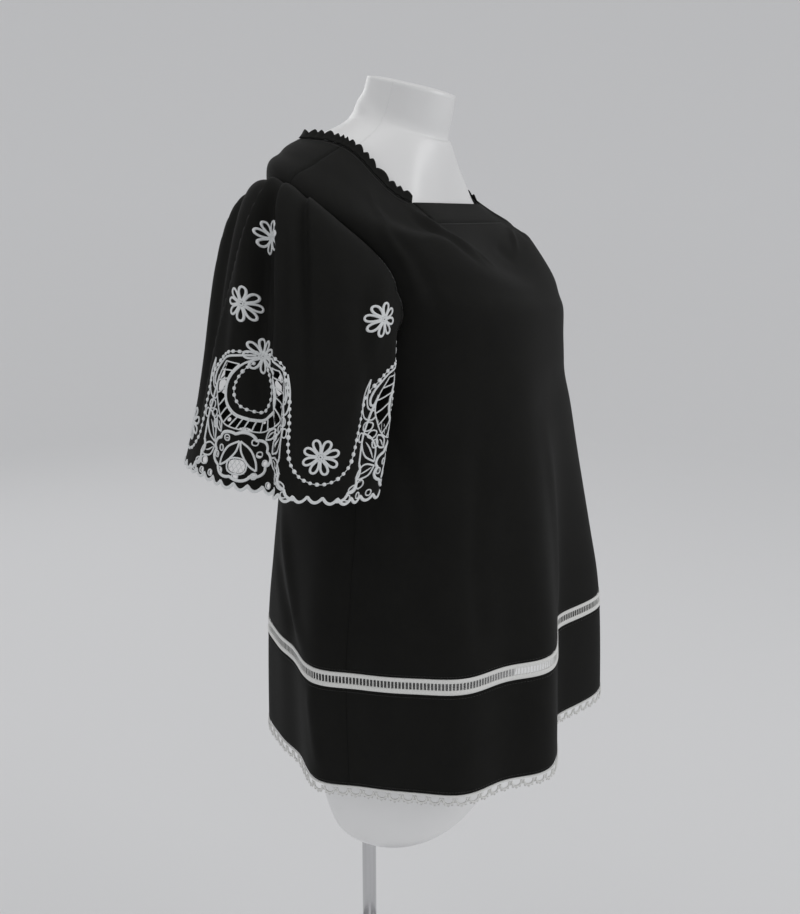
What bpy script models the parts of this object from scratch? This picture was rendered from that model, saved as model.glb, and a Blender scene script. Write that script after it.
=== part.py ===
"""Tunic blouse on a limbless dress form: an A-line blouse with a square neck, a neck
ruffle, wide cutwork sleeves, a ladder insertion above the border and a scalloped lace
hem. Metres, +Z up, the front faces -Y, and the origin is under the pole, on the floor."""

from math import atan2, ceil, cos, exp, hypot, pi, radians, sin
from typing import NamedTuple

import bmesh
import bpy
from mathutils import Vector
from mathutils.geometry import delaunay_2d_cdt

# Driving dimensions
GAP = 0.0003
CLOTH = 0.0015
LACE = 0.0012
NECK_Y = -0.060
LEVEL = 1.070

NECK_BAND_DEPTH = 0.75
TRIM_TOP = 7.0
TRIM_BOTTOM = 7.13
HEM = 8.0
SIDE = 90.0
NECK_CORNER = 45.0
BAND_TAPER = 12.0

HEM_LACE_DEPTH = 0.0115
HEM_LACE_HEADER = 0.0036
HEM_LACE_HOLE_DROP = 0.0018
HEM_LACE_LOOP = 0.014
HEM_LOOPS_PER_HALF = 46

RUFFLE_WAVES = 40
RUFFLE_HEIGHT = 0.0075
RUFFLE_DEPTH = 0.0030
RUFFLE_FLARE = 0.0035
RUFFLE_LAP = 0.0010
RUFFLE_THICKNESS = 0.0010

SLEEVE_LENGTH = 0.30
SLEEVE_SCALLOPS = 42
SCALLOP_RISE = 0.0032
SLEEVE_REPEATS = 3
FLOWER_TURN = -6.0
HEAD_PUFF_OUT = (0.020, 0.028)
HEAD_PUFF_UP = (-0.004, 0.042)
HEAD_SPREAD = (-0.018, 0.008)
FALL_SPREAD = (0.006, -0.014)
HEAD_PUFF_NORMAL = 0.012
HEM_FALL = (0.05, 0.10)
HEM_FALL_IN = 0.055
HEM_BAND_STEP = 0.002
PLEAT_START = 0.12
PLEAT_FADE = 0.6

FORM_SQUARE = 2.2
FORM_TOP_RISE = 0.003
FORM_UNDER_DROP = 0.002
POLE_RADIUS = 0.0092
POLE_DEPTH_IN_FORM = 0.070
BASE_RADIUS = 0.170
BASE_THICKNESS = 0.006
HUB_RADIUS = 0.017
HUB_HEIGHT = 0.034
BORE_FLOOR = 0.003
BASE_EDGE = 0.001

# Gaps at seams, in degrees and in ring numbers, and the sizes of the cloth's triangles.
# The flat pattern is drawn with a ring number as so many degrees, to keep them even.
SEAM = 0.08
SLEEVE_SPLIT = 0.36
EDGE = 0.0035
RING_AS_DEGREES = 24.0
BODY_COLUMN = 8.0
BODY_ROW = 0.5
BAND_ROW = 0.25
BORDER_ROW = 0.3
STRIP_COLUMNS = 24
SLEEVE_COLUMN = 16.0
SLEEVE_ROW = 0.028
SLEEVE_KEEP_OFF = 0.0096
HOLE_MARGIN = 0.004
TURNED_SIDES = 24


class Ring(NamedTuple):
    """One ring round the blouse: its heights at 0, 45, 90, 135 and 180 degrees, how
    square it is, and the angle of the shoulder and side seam where it crosses it."""

    name: str
    half_width: float
    front: float
    back: float
    z_front: float
    z_corner: float
    z_side: float
    z_rear: float
    z_back: float
    square: float
    seam: float


BLOUSE_RINGS = [
    Ring("neck", 0.100, -0.050, 0.095, 0.014, 0.014, 0.068, 0.082, 0.076, 7.0, 98.0),
    Ring("yoke", 0.150, -0.086, 0.112, -0.015, -0.013, 0.042, 0.066, 0.058, 3.6, 104.0),
    Ring("shoulder", 0.194, -0.118, 0.126, -0.054, -0.026, 0.008, 0.044, 0.016, 2.6, 109.0),
    Ring("chest", 0.188, -0.161, 0.132, -0.090, -0.086, -0.056, -0.040, -0.050, 2.5, 102.0),
    Ring("underarm", 0.180, -0.170, 0.130, -0.150, -0.150, -0.140, -0.140, -0.145, 2.4, 95.0),
    Ring("waist", 0.190, -0.184, 0.127, -0.270, -0.270, -0.270, -0.270, -0.270, 2.4, 91.0),
    Ring("hip", 0.213, -0.194, 0.129, -0.375, -0.375, -0.375, -0.375, -0.375, 2.3, 90.0),
    Ring("trim", 0.226, -0.200, 0.132, -0.459, -0.459, -0.459, -0.459, -0.459, 2.2, 90.0),
    Ring("hem", 0.223, -0.204, 0.134, -0.588, -0.588, -0.588, -0.588, -0.588, 2.2, 90.0),
]


class Fold(NamedTuple):
    """A soft ridge, or with a negative depth a trough, that deepens towards the hem."""

    name: str
    angle: float
    half_width: float
    depth: float
    start: float


BLOUSE_FOLDS = [
    Fold("right_bust", -30.0, 13.0, 0.026, 3.0),
    Fold("right_front", -58.0, 10.0, 0.015, 4.0),
    Fold("centre_front", 6.0, 14.0, -0.018, 3.5),
    Fold("left_bust", 36.0, 13.0, 0.029, 3.8),
    Fold("left_front", 63.0, 10.0, 0.012, 4.2),
    Fold("left_side", 98.0, 9.0, 0.011, 4.4),
    Fold("right_side", -98.0, 8.0, 0.013, 4.2),
    Fold("right_hollow", -114.0, 8.0, -0.007, 4.4),
    Fold("right_back", -143.0, 12.0, 0.018, 3.6),
    Fold("centre_back", -172.0, 11.0, -0.010, 4.0),
    Fold("left_back", 150.0, 12.0, 0.016, 3.8),
    Fold("left_hollow", 122.0, 9.0, -0.008, 4.4),
]


class Armhole(NamedTuple):
    """An oval in the blouse's angle and ring number, leaning back at its top."""

    angle: float
    half_angle: float
    bulge: float
    lean: float
    middle: float
    half_height: float


ARMHOLE = Armhole(angle=100.0, half_angle=31.0, bulge=6.5, lean=7.0, middle=3.0, half_height=1.0)


class SleeveHem(NamedTuple):
    """The sleeve's hem oval, which is lower in front by its tilt."""

    x: float
    y: float
    z: float
    half_x: float
    half_y: float
    tilt: float


SLEEVE_HEM = SleeveHem(x=0.264, y=0.019, z=-0.249, half_x=0.062, half_y=0.101, tilt=0.011)


class Pleat(NamedTuple):
    """A pleat in the sleeve head. Turn 0 is the outer side and 90 the front."""

    name: str
    turn: float
    half_width: float
    depth: float
    reach: float


PLEATS = [
    Pleat("front", 34.0, 9.0, 0.006, 0.75),
    Pleat("front_hollow", 20.0, 8.0, -0.006, 0.85),
    Pleat("top_front", 8.0, 8.0, 0.010, 0.90),
    Pleat("top_hollow", -7.0, 9.0, -0.016, 0.97),
    Pleat("top_back", -25.0, 9.0, 0.009, 0.90),
    Pleat("back_hollow", -40.0, 8.0, -0.006, 0.85),
    Pleat("back", -54.0, 9.0, 0.006, 0.75),
]


class Cut(NamedTuple):
    """A cut-out in one half of a sleeve repeat: metres along from the flower's middle,
    metres above the hem, half sizes and lean in degrees."""

    name: str
    along: float
    up: float
    half_width: float
    half_height: float
    lean: float


CUTS = [
    Cut("flower_mesh", 0.0, 0.0225, 0.0086, 0.0064, 0.0),
    Cut("net_low", 0.0160, 0.0626, 0.0044, 0.0044, 12.0),
    Cut("net_corner", 0.0274, 0.0660, 0.0044, 0.0050, 30.0),
    Cut("net_side", 0.0356, 0.0754, 0.0042, 0.0049, 22.0),
    Cut("net_middle", 0.0374, 0.0870, 0.0039, 0.0044, 0.0),
    Cut("net_upper", 0.0356, 0.0982, 0.0040, 0.0045, -14.0),
    Cut("net_top", 0.0296, 0.1094, 0.0046, 0.0056, -38.0),
    Cut("leaf_gap", 0.0370, 0.0574, 0.0022, 0.0036, -20.0),
    Cut("border_near", 0.0454, 0.0176, 0.0040, 0.0029, -14.0),
]


class FormRing(NamedTuple):
    name: str
    z: float
    half_width: float
    front: float
    back: float


FORM_NECK = [
    FormRing("neck_top", 0.140, 0.0475, -0.048, 0.048),
    FormRing("neck_middle", 0.118, 0.0475, -0.043, 0.053),
    FormRing("neck_low", 0.100, 0.0500, -0.039, 0.060),
    FormRing("neck_base", 0.086, 0.0620, -0.043, 0.070),
]
FORM_NECK_SLANT = [0.245, 0.36, 0.46, 0.30]
FORM_SHOULDER_STEPS = [0.0, 0.5, 1.0, 1.5, 2.0, 2.5, 3.0]
FORM_BODY = [
    FormRing("bust_low", -0.145, 0.155, -0.140, 0.108),
    FormRing("ribs", -0.200, 0.135, -0.112, 0.096),
    FormRing("waist", -0.270, 0.122, -0.098, 0.084),
    FormRing("high_hip", -0.360, 0.145, -0.108, 0.098),
    FormRing("hip", -0.450, 0.166, -0.120, 0.108),
    FormRing("seat", -0.540, 0.170, -0.124, 0.106),
    FormRing("thigh", -0.640, 0.160, -0.114, 0.096),
    FormRing("low", -0.700, 0.145, -0.100, 0.084),
    FormRing("turn", -0.726, 0.126, -0.086, 0.072),
    FormRing("under", -0.738, 0.092, -0.064, 0.050),
]
FORM_SIDES = 32
FORM_CLEARANCE = 0.0032
FORM_NECK_CLEARANCE = 0.0020

CLOTH_COLOUR = (0.0091, 0.0091, 0.0084)
WHITE_COLOUR = (0.78, 0.79, 0.80)
FORM_COLOUR = (0.62, 0.62, 0.62)
CHROME_COLOUR = (0.55, 0.55, 0.55)


def material(name, colour, roughness, metallic=0.0):
    made = bpy.data.materials.new(name)
    made.use_nodes = True
    shader = made.node_tree.nodes["Principled BSDF"]
    shader.inputs["Base Color"].default_value = (*colour, 1.0)
    shader.inputs["Roughness"].default_value = roughness
    shader.inputs["Metallic"].default_value = metallic
    made.diffuse_color = (*colour, 1.0)
    return made


def add_object(name, vertices, faces, finish):
    mesh = bpy.data.meshes.new(name)
    mesh.from_pydata(vertices, [], faces)
    mesh.materials.append(finish)
    made = bpy.data.objects.new(name, mesh)
    bpy.context.scene.collection.objects.link(made)
    return made


def smoothstep(value):
    value = min(max(value, 0.0), 1.0)
    return value * value * (3 - 2 * value)


def spline(values, place):
    """A smooth value through a list at whole numbers, read at place."""
    last = len(values) - 1
    index = min(int(place), last - 1)
    part = place - index
    before, here = values[max(index - 1, 0)], values[index]
    there, after = values[index + 1], values[min(index + 2, last)]
    slope, next_slope = (there - before) / 2, (after - here) / 2
    cube, square = part**3, part**2
    return (
        here * (2 * cube - 3 * square + 1)
        + slope * (cube - 2 * square + part)
        + there * (3 * square - 2 * cube)
        + next_slope * (cube - square)
    )


def turned(angle):
    """The angle brought between -180 and 180 degrees."""
    return (angle + 180.0) % 360.0 - 180.0


def power(value, exponent):
    return abs(value) ** exponent * (1 if value >= 0 else -1)


def ring_height(heights, angle):
    """The height at an angle: eased across the front edge, then smooth to the back."""
    eighth = abs(turned(angle)) / 45.0
    if eighth < 1.0:
        return heights[0] + (heights[1] - heights[0]) * smoothstep(eighth)
    return spline(heights[1:], min(eighth - 1.0, 3.0))


def ring_columns(names):
    return [[getattr(ring, name) for ring in BLOUSE_RINGS] for name in names]


WIDTHS, FRONTS, BACKS, SQUARES, SEAMS = ring_columns(
    ["half_width", "front", "back", "square", "seam"]
)
HEIGHTS = ring_columns(["z_front", "z_corner", "z_side", "z_rear", "z_back"])


def blouse(angle, place):
    """A point of the blouse: angle 0 is the front, place is the ring number."""
    front, back, square = (spline(column, place) for column in (FRONTS, BACKS, SQUARES))
    middle, half_depth = (front + back) / 2, (back - front) / 2
    across, ahead = sin(radians(angle)), cos(radians(angle))
    reach = (abs(across) ** square + abs(ahead) ** square) ** (-1 / square)
    x = spline(WIDTHS, place) * across * reach
    y = middle - half_depth * ahead * reach
    z = ring_height([spline(column, place) for column in HEIGHTS], angle)
    push = 0.0
    for fold in BLOUSE_FOLDS:
        off = turned(atan2_degrees(x, middle - y) - fold.angle) / fold.half_width
        growth = smoothstep((place - fold.start) / (HEM - fold.start))
        push += fold.depth * exp(-off * off) * growth
    away = Vector((x, y - middle, 0.0)).normalized() * push
    return Vector((x + away.x, y + away.y + NECK_Y, z + LEVEL))


def atan2_degrees(sine, cosine):
    return atan2(sine, cosine) * 180.0 / pi


def normal_of(surface, first, second, outside, steps=(0.5, 0.02)):
    """The surface's unit normal, on the side that outside says."""
    along = surface(first + steps[0], second) - surface(first - steps[0], second)
    down = surface(first, second + steps[1]) - surface(first, second - steps[1])
    return (along.cross(down) * outside).normalized()


def armhole_point(turn):
    """The armhole of the left side, as the blouse's angle and ring number."""
    angle = ARMHOLE.angle + ARMHOLE.lean * cos(radians(turn))
    angle -= ARMHOLE.half_angle * sin(radians(turn))
    upper_front = max(sin(radians(turn)), 0.0) * max(sin(radians(2 * turn)), 0.0)
    angle -= ARMHOLE.bulge * upper_front
    return angle, ARMHOLE.middle - ARMHOLE.half_height * cos(radians(turn))


def sleeve(turn, place, side):
    """A point of a sleeve, 0 at the armhole and 1 at the hem; side is 1 or -1."""
    angle, ring = armhole_point(turn)
    start = blouse(angle, ring)
    outward = normal_of(blouse, angle, ring, -1.0)
    outward.z = max(outward.z, 0.0)
    top = 0.5 + 0.5 * cos(radians(turn))
    hem = SLEEVE_HEM
    end = Vector((
        hem.x + hem.half_x * cos(radians(turn)),
        hem.y + NECK_Y - hem.half_y * sin(radians(turn)),
        hem.z - hem.tilt * sin(radians(turn)) + LEVEL,
    ))
    start += outward * (2 * GAP)
    out, up = (low + more * top for low, more in (HEAD_PUFF_OUT, HEAD_PUFF_UP))
    ahead = sin(radians(turn))
    head, low = (a * ahead + b * ahead**2 for a, b in (HEAD_SPREAD, FALL_SPREAD))
    lead = start + Vector((out, head, up)) + outward * HEAD_PUFF_NORMAL
    fall = end + Vector((-HEM_FALL_IN * top, low, HEM_FALL[0] + HEM_FALL[1] * top))
    rest = 1.0 - place
    point = start * rest**3 + lead * (3 * rest**2 * place)
    point += fall * (3 * rest * place**2) + end * place**3
    push = 0.0
    for pleat in PLEATS:
        off = turned(turn - pleat.turn) / pleat.half_width
        fade = smoothstep(place / PLEAT_START) * smoothstep((pleat.reach - place) / PLEAT_FADE)
        push += pleat.depth * exp(-off * off) * fade
    away = Vector((cos(radians(turn)), -sin(radians(turn)), 1.5 * top * rest))
    point += away.normalized() * push
    point.x *= side
    return point


def is_inside(point, loop):
    """Whether a flat point lies inside a closed loop."""
    inside = False
    for (ax, ay), (bx, by) in zip(loop, loop[1:] + loop[:1]):
        if (ay > point[1]) != (by > point[1]):
            if point[0] < ax + (point[1] - ay) * (bx - ax) / (by - ay):
                inside = not inside
    return inside


def triangulated(outline, holes, inner):
    """Flat triangles between an outline and its holes, with the inner points in them."""
    points, edges = [], []
    for loop in [outline, *holes]:
        first, count = len(points), len(loop)
        points += [Vector(point) for point in loop]
        edges += [(first + i, first + (i + 1) % count) for i in range(count)]
    points += [Vector(point) for point in inner]
    whole_hull = 0
    made = delaunay_2d_cdt(points, edges, [], whole_hull, 1e-9)
    flat, kept = [tuple(point) for point in made[0]], []
    for face in made[2]:
        middle = [sum(flat[index][axis] for index in face) / 3 for axis in (0, 1)]
        if is_inside(middle, outline) and not any(is_inside(middle, hole) for hole in holes):
            kept.append(tuple(face))
    return flat, kept


def inner_grid(outline, holes, columns, rows, keep_off):
    """Points inside the outline, kept off the edges, from lists of columns and rows."""
    edge_points = [point for loop in [outline, *holes] for point in loop]
    found = []
    for x in columns[1:-1]:
        for y in rows[1:-1]:
            near = min(hypot(x - px, y - py) for px, py in edge_points)
            if near < keep_off or not is_inside((x, y), outline):
                continue
            if any(is_inside((x, y), hole) for hole in holes):
                continue
            found.append((x, y))
    return found


def wall(name, flat, triangles, surface, outside, thickness, finish, steps=(0.5, 0.02)):
    """A closed wall: flat points put on a surface, thickened inwards from it."""
    outer, inner = [], []
    for first, second in flat:
        point = surface(first, second)
        normal = normal_of(surface, first, second, outside, steps)
        outer.append(point)
        inner.append(point - normal * thickness)
    a, b, c = triangles[0]
    facing = (outer[b] - outer[a]).cross(outer[c] - outer[a])
    if facing.dot(outer[a] - inner[a]) < 0:
        triangles = [face[::-1] for face in triangles]
    count = len(flat)
    faces = list(triangles)
    faces += [tuple(index + count for index in face[::-1]) for face in triangles]
    sides = {(a, b) for face in triangles for a, b in zip(face, face[1:] + face[:1])}
    rim = [(a, b) for a, b in sorted(sides) if (b, a) not in sides]
    for a, b in rim:
        faces.append((b, a, a + count))
        faces.append((b, a + count, b + count))
    return add_object(name, outer + inner, faces, finish)


def steps_between(start, end, count):
    return [start + (end - start) * index / count for index in range(count + 1)]


def blouse_flat(angle, row):
    return blouse(angle, row / RING_AS_DEGREES)


def add_panel(name, outline, holes, column_width, row_height, thickness, finish):
    """A cloth panel of the blouse from its outline in degrees and ring numbers."""
    outline = [(angle, ring * RING_AS_DEGREES) for angle, ring in outline]
    low, high = min(x for x, _ in outline), max(x for x, _ in outline)
    top, bottom = min(y for _, y in outline), max(y for _, y in outline)
    columns = steps_between(low, high, max(2, ceil((high - low) / column_width)))
    rows = steps_between(top, bottom, max(1, ceil((bottom - top) / (row_height * RING_AS_DEGREES))))
    inner = inner_grid(outline, holes, columns, rows, 0.42 * column_width)
    flat, triangles = triangulated(outline, holes, inner)
    steps = (0.5, 0.02 * RING_AS_DEGREES)
    return wall(name, flat, triangles, blouse_flat, -1.0, thickness, finish, steps)


def side_edge(side, middle, start, end):
    """The edge of a half panel from the neck, round the armhole, to its lower end.
    The panel's middle is 0 for the front and 180 for the back."""
    towards = -1 if middle == 0 else 1
    curve = []
    for turn in steps_between(0, 180, 18):
        angle, ring = armhole_point(-towards * turn)
        curve.append((side * (angle + towards * SEAM), ring))
    top, bottom = curve[0][1], curve[-1][1]
    seam = steps_between(start, top, 5)[:-1] + steps_between(bottom, end, 7)[1:]
    line = [(side * (spline(SEAMS, ring) + towards * SEAM), ring) for ring in seam]
    return line[:5] + curve + line[5:]


def band_edge(ring):
    """The neck band's end, which runs from the neck corner towards the bust."""
    return NECK_CORNER - BAND_TAPER * ring


def add_front(finish):
    """The front, cut away under the neck band, with half of each armhole."""
    left = side_edge(1, 0, EDGE, TRIM_TOP - EDGE)
    right = side_edge(-1, 0, EDGE, TRIM_TOP - EDGE)
    depth = NECK_BAND_DEPTH + EDGE
    ends = [(band_edge(ring) + SEAM, ring) for ring in (EDGE, depth / 2, depth)]
    lower = [(angle, depth) for angle in steps_between(-ends[-1][0], ends[-1][0], 10)]
    strap = steps_between(NECK_CORNER, left[0][0], 5)[1:-1]
    neck = [(-angle, EDGE) for angle in reversed(strap)]
    neck += [(-angle, ring) for angle, ring in ends] + lower[1:-1] + ends[::-1]
    neck += [(angle, EDGE) for angle in strap]
    hem = [(angle, TRIM_TOP - EDGE) for angle in steps_between(left[-1][0], right[-1][0], 24)]
    outline = neck + left + hem[1:-1] + right[::-1]
    return add_panel("body_front", outline, [], BODY_COLUMN, BODY_ROW, CLOTH, finish)


def add_back(finish):
    """The back, from shoulder seams to side seams, with half of each armhole."""
    left = side_edge(1, 180, EDGE, TRIM_TOP - EDGE)
    right = [(angle + 360.0, ring) for angle, ring in side_edge(-1, 180, EDGE, TRIM_TOP - EDGE)]
    neck = [(angle, EDGE) for angle in steps_between(left[0][0], right[0][0], 20)]
    hem = [(angle, TRIM_TOP - EDGE) for angle in steps_between(right[-1][0], left[-1][0], 24)]
    outline = neck[1:-1] + right + hem[1:-1] + left[::-1]
    return add_panel("body_back", outline, [], BODY_COLUMN, BODY_ROW, CLOTH, finish)


def band_outline(low, high, top, bottom, columns, rows):
    """An oblong strip's outline in degrees and ring numbers."""
    across = steps_between(low, high, columns)
    down = steps_between(top, bottom, rows)
    outline = [(angle, top) for angle in across[:-1]] + [(high, ring) for ring in down[:-1]]
    outline += [(angle, bottom) for angle in across[:0:-1]]
    return outline + [(low, ring) for ring in down[:0:-1]]


def add_neck_band(finish):
    rings = [EDGE, NECK_BAND_DEPTH / 2, NECK_BAND_DEPTH - EDGE]
    ends = [(band_edge(ring) - SEAM, ring) for ring in rings]
    top = steps_between(-ends[0][0], ends[0][0], 10)
    bottom = steps_between(ends[-1][0], -ends[-1][0], 10)
    outline = [(angle, rings[0]) for angle in top] + ends[1:-1]
    outline += [(angle, rings[-1]) for angle in bottom] + [(-ends[1][0], rings[1])]
    add_panel("front_neck_band", outline, [], BODY_COLUMN, BAND_ROW, CLOTH, finish)


def add_strips(cloth, white):
    """The ladder insertions and the borders of front and back."""
    for half, low in (("front", -SIDE), ("back", SIDE)):
        low, high = low + SEAM, low + 180.0 - SEAM
        trim = band_outline(low, high, TRIM_TOP, TRIM_BOTTOM, STRIP_COLUMNS, 1)
        add_panel(f"ladder_{half}", trim, [], BODY_COLUMN, 1.0, LACE, white)
        border = band_outline(low, high, TRIM_BOTTOM + 2 * EDGE, HEM, STRIP_COLUMNS, 3)
        add_panel(f"border_{half}", border, [], BODY_COLUMN, BORDER_ROW, CLOTH, cloth)


def hem_lace_point(angle, drop):
    """A point of the lace, which hangs from the hem straight down by drop."""
    point = blouse(angle, HEM)
    point.z -= drop + GAP
    return point


def add_hem_lace(half, low, finish):
    """One half of the scalloped lace: a header, and a loop with its opening, repeated."""
    low, high = low + SEAM, low + 180.0 - SEAM
    pitch = (high - low) / HEM_LOOPS_PER_HALF
    as_flat = pitch / HEM_LACE_LOOP
    depth, header = HEM_LACE_DEPTH * as_flat, HEM_LACE_HEADER * as_flat
    drop = header + HEM_LACE_HOLE_DROP * as_flat
    outline, holes = [], []
    for index in range(HEM_LOOPS_PER_HALF):
        middle = low + pitch * (index + 0.5)
        outline.append((middle - 0.5 * pitch, 0.0))
        hole = [(-0.26, 0.0), (0.0, -0.10), (0.26, 0.0), (0.15, 0.36), (-0.15, 0.36)]
        holes.append([(middle + across * pitch, drop + down * pitch) for across, down in hole])
    outline.append((high, 0.0))
    for index in reversed(range(HEM_LOOPS_PER_HALF)):
        middle = low + pitch * (index + 0.5)
        outline.append((middle + 0.5 * pitch, header * 1.15))
        outline += [(middle + across * pitch, depth) for across in (0.24, -0.24)]
    outline.append((low, header * 1.15))
    flat, triangles = triangulated(outline, holes, [])

    def surface(angle, row):
        return hem_lace_point(angle, row / as_flat)

    return wall(f"hem_lace_{half}", flat, triangles, surface, -1.0, LACE, finish, (0.5, 0.5))


def sleeve_girth():
    """The sleeve hem's length round."""
    points = [sleeve(turn, 1.0, 1) for turn in range(0, 361, 5)]
    return sum((b - a).length for a, b in zip(points, points[1:]))


def sleeve_edge(turn):
    """The scalloped hem's height above the sleeve's end, in metres."""
    phase = (turn * SLEEVE_SCALLOPS / 360.0) % 1.0
    return SCALLOP_RISE * (2 * phase - 1) ** 2


def sleeve_columns(low, high):
    """Turns for the rows of points: one on each pleat, and even steps between."""
    marks = [low] + sorted(pleat.turn for pleat in PLEATS if low < pleat.turn < high) + [high]
    columns = [low]
    for start, end in zip(marks, marks[1:]):
        columns += steps_between(start, end, ceil((end - start) / SLEEVE_COLUMN))[1:]
    return columns


def add_sleeve_half(side_name, side, half, low, finish):
    """Half a sleeve, between its underarm and the top of its head, with its cutwork."""
    girth = sleeve_girth()
    turns_per_metre = 360.0 / girth
    low, high = low + SLEEVE_SPLIT, low + 180.0 - SLEEVE_SPLIT

    def flat_place(turn, up):
        return turn / turns_per_metre, SLEEVE_LENGTH - up

    def surface(along, down):
        return sleeve(along * turns_per_metre, down / SLEEVE_LENGTH, side)

    outline = [flat_place(turn, SLEEVE_LENGTH) for turn in steps_between(low, high, 18)]
    rises = [0.288, 0.274, 0.256, 0.235, 0.21, 0.18, 0.15, 0.12, 0.09, 0.06, 0.03]
    outline += [flat_place(high, up) for up in rises]
    tips = steps_between(high, low, SLEEVE_SCALLOPS)
    outline += [flat_place(turn, sleeve_edge(turn)) for turn in tips]
    outline += [flat_place(low, up) for up in reversed(rises)]
    holes = []
    for repeat in range(SLEEVE_REPEATS):
        flower = FLOWER_TURN + 360.0 / SLEEVE_REPEATS * repeat
        for cut in CUTS:
            for hand in (1, -1) if cut.along else (1,):
                turn = flower + hand * cut.along * turns_per_metre
                turn = (turn - low) % 360.0 + low
                margin = (cut.half_width + HOLE_MARGIN) * turns_per_metre
                if not low + margin < turn < high - margin:
                    continue
                hole = []
                for across, up in oval(cut, hand * radians(cut.lean)):
                    there = turn + across * turns_per_metre
                    hole.append((there / turns_per_metre, place_above_hem(there, up) * SLEEVE_LENGTH))
                holes.append(hole)
    columns = [turn / turns_per_metre for turn in sleeve_columns(low, high)]
    rows = steps_between(0.0, SLEEVE_LENGTH, ceil(SLEEVE_LENGTH / SLEEVE_ROW))
    inner = inner_grid(outline, holes, columns, rows, SLEEVE_KEEP_OFF)
    flat, triangles = triangulated(outline, holes, inner)
    name = f"sleeve_{side_name}_{half}"
    return wall(name, flat, triangles, surface, side, CLOTH, finish, (0.001, 0.001))


def place_above_hem(turn, up):
    """The place between armhole and hem that lies this far above the hem."""
    place, walked, last = 1.0, 0.0, sleeve(turn, 1.0, 1)
    while walked < up and place > HEM_BAND_STEP:
        place -= HEM_BAND_STEP
        point = sleeve(turn, place, 1)
        walked += (point - last).length
        last = point
    return place


def oval(cut, lean):
    """A six-sided oval hole that leans, in metres across and above the hem."""
    corners = []
    for index in range(6):
        angle = index * pi / 3
        across, rise = cut.half_width * cos(angle), cut.half_height * sin(angle)
        corners.append((
            across * cos(lean) - rise * sin(lean),
            cut.up + across * sin(lean) + rise * cos(lean),
        ))
    return corners


def add_sleeves(finish):
    for side_name, side in (("left", 1), ("right", -1)):
        add_sleeve_half(side_name, side, "front", 0.0, finish)
        add_sleeve_half(side_name, side, "back", -180.0, finish)


def ruffle_point(angle, rise, wave):
    """A point of the ruffle, which stands on the cloth just outside the neck edge."""
    normal = normal_of(blouse, angle, 0.06, -1.0)
    base = blouse(angle, 0.03)
    up = (blouse(angle, 0.0) - blouse(angle, 0.1)).normalized()
    depth = RUFFLE_DEPTH * (0.35 + 0.65 * rise) * wave
    lift = 2 * GAP + depth + RUFFLE_FLARE * rise
    return base + normal * lift + up * (RUFFLE_HEIGHT * rise - RUFFLE_LAP)


def add_ruffle(finish):
    """The gathered frill round the sides and back of the neck, with uneven waves."""
    per_wave = 4
    count = RUFFLE_WAVES * per_wave
    clear = 0.6
    low, high = NECK_CORNER + clear, 360.0 - NECK_CORNER - clear
    rows = []
    for index in range(count + 1):
        part = index / count
        angle = low + (high - low) * part
        phase = 2 * pi * (index / per_wave) + 0.9 * sin(2 * pi * part * 7.3)
        wave = 0.5 + 0.5 * sin(phase)
        foot = ruffle_point(angle, 0.0, wave)
        head = ruffle_point(angle, 1.0, wave)
        rows.append((foot, head))
    vertices, faces = [], []
    for index, (foot, head) in enumerate(rows):
        before, after = rows[max(index - 1, 0)], rows[min(index + 1, count)]
        out = (after[0] - before[0]).cross(head - foot).normalized() * RUFFLE_THICKNESS
        vertices += [foot, head, head + out, foot + out]
    for index in range(count):
        here, there = 4 * index, 4 * index + 4
        for corner in range(4):
            following = (corner + 1) % 4
            faces.append((here + corner, here + following, there + following, there + corner))
    faces.append((0, 3, 2, 1))
    last = 4 * count
    faces.append((last, last + 1, last + 2, last + 3))
    made = add_object("neck_ruffle", vertices, faces, finish)
    face_outwards(made)
    return made


def face_outwards(made):
    work = bmesh.new()
    work.from_mesh(made.data)
    bmesh.ops.recalc_face_normals(work, faces=work.faces[:])
    work.to_mesh(made.data)
    work.free()


def form_ring(ring, slant=0.0):
    points = []
    middle, half_depth = (ring.front + ring.back) / 2, (ring.back - ring.front) / 2
    for index in range(FORM_SIDES):
        turn = 2 * pi * index / FORM_SIDES
        x = ring.half_width * power(sin(turn), 2 / FORM_SQUARE)
        y = middle - half_depth * power(cos(turn), 2 / FORM_SQUARE)
        points.append(Vector((x, y + NECK_Y, ring.z + slant * y + LEVEL)))
    return points


def shoulder_ring(place):
    """A ring of the form under the cloth: the cloth's own points, moved in."""
    points = []
    clearance = FORM_CLEARANCE if place else FORM_NECK_CLEARANCE
    for index in range(FORM_SIDES):
        angle = 360.0 * index / FORM_SIDES
        point = blouse(angle, place)
        normal = normal_of(blouse, angle, max(place, 0.02), -1.0)
        points.append(point - normal * (CLOTH + clearance))
    return points


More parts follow.
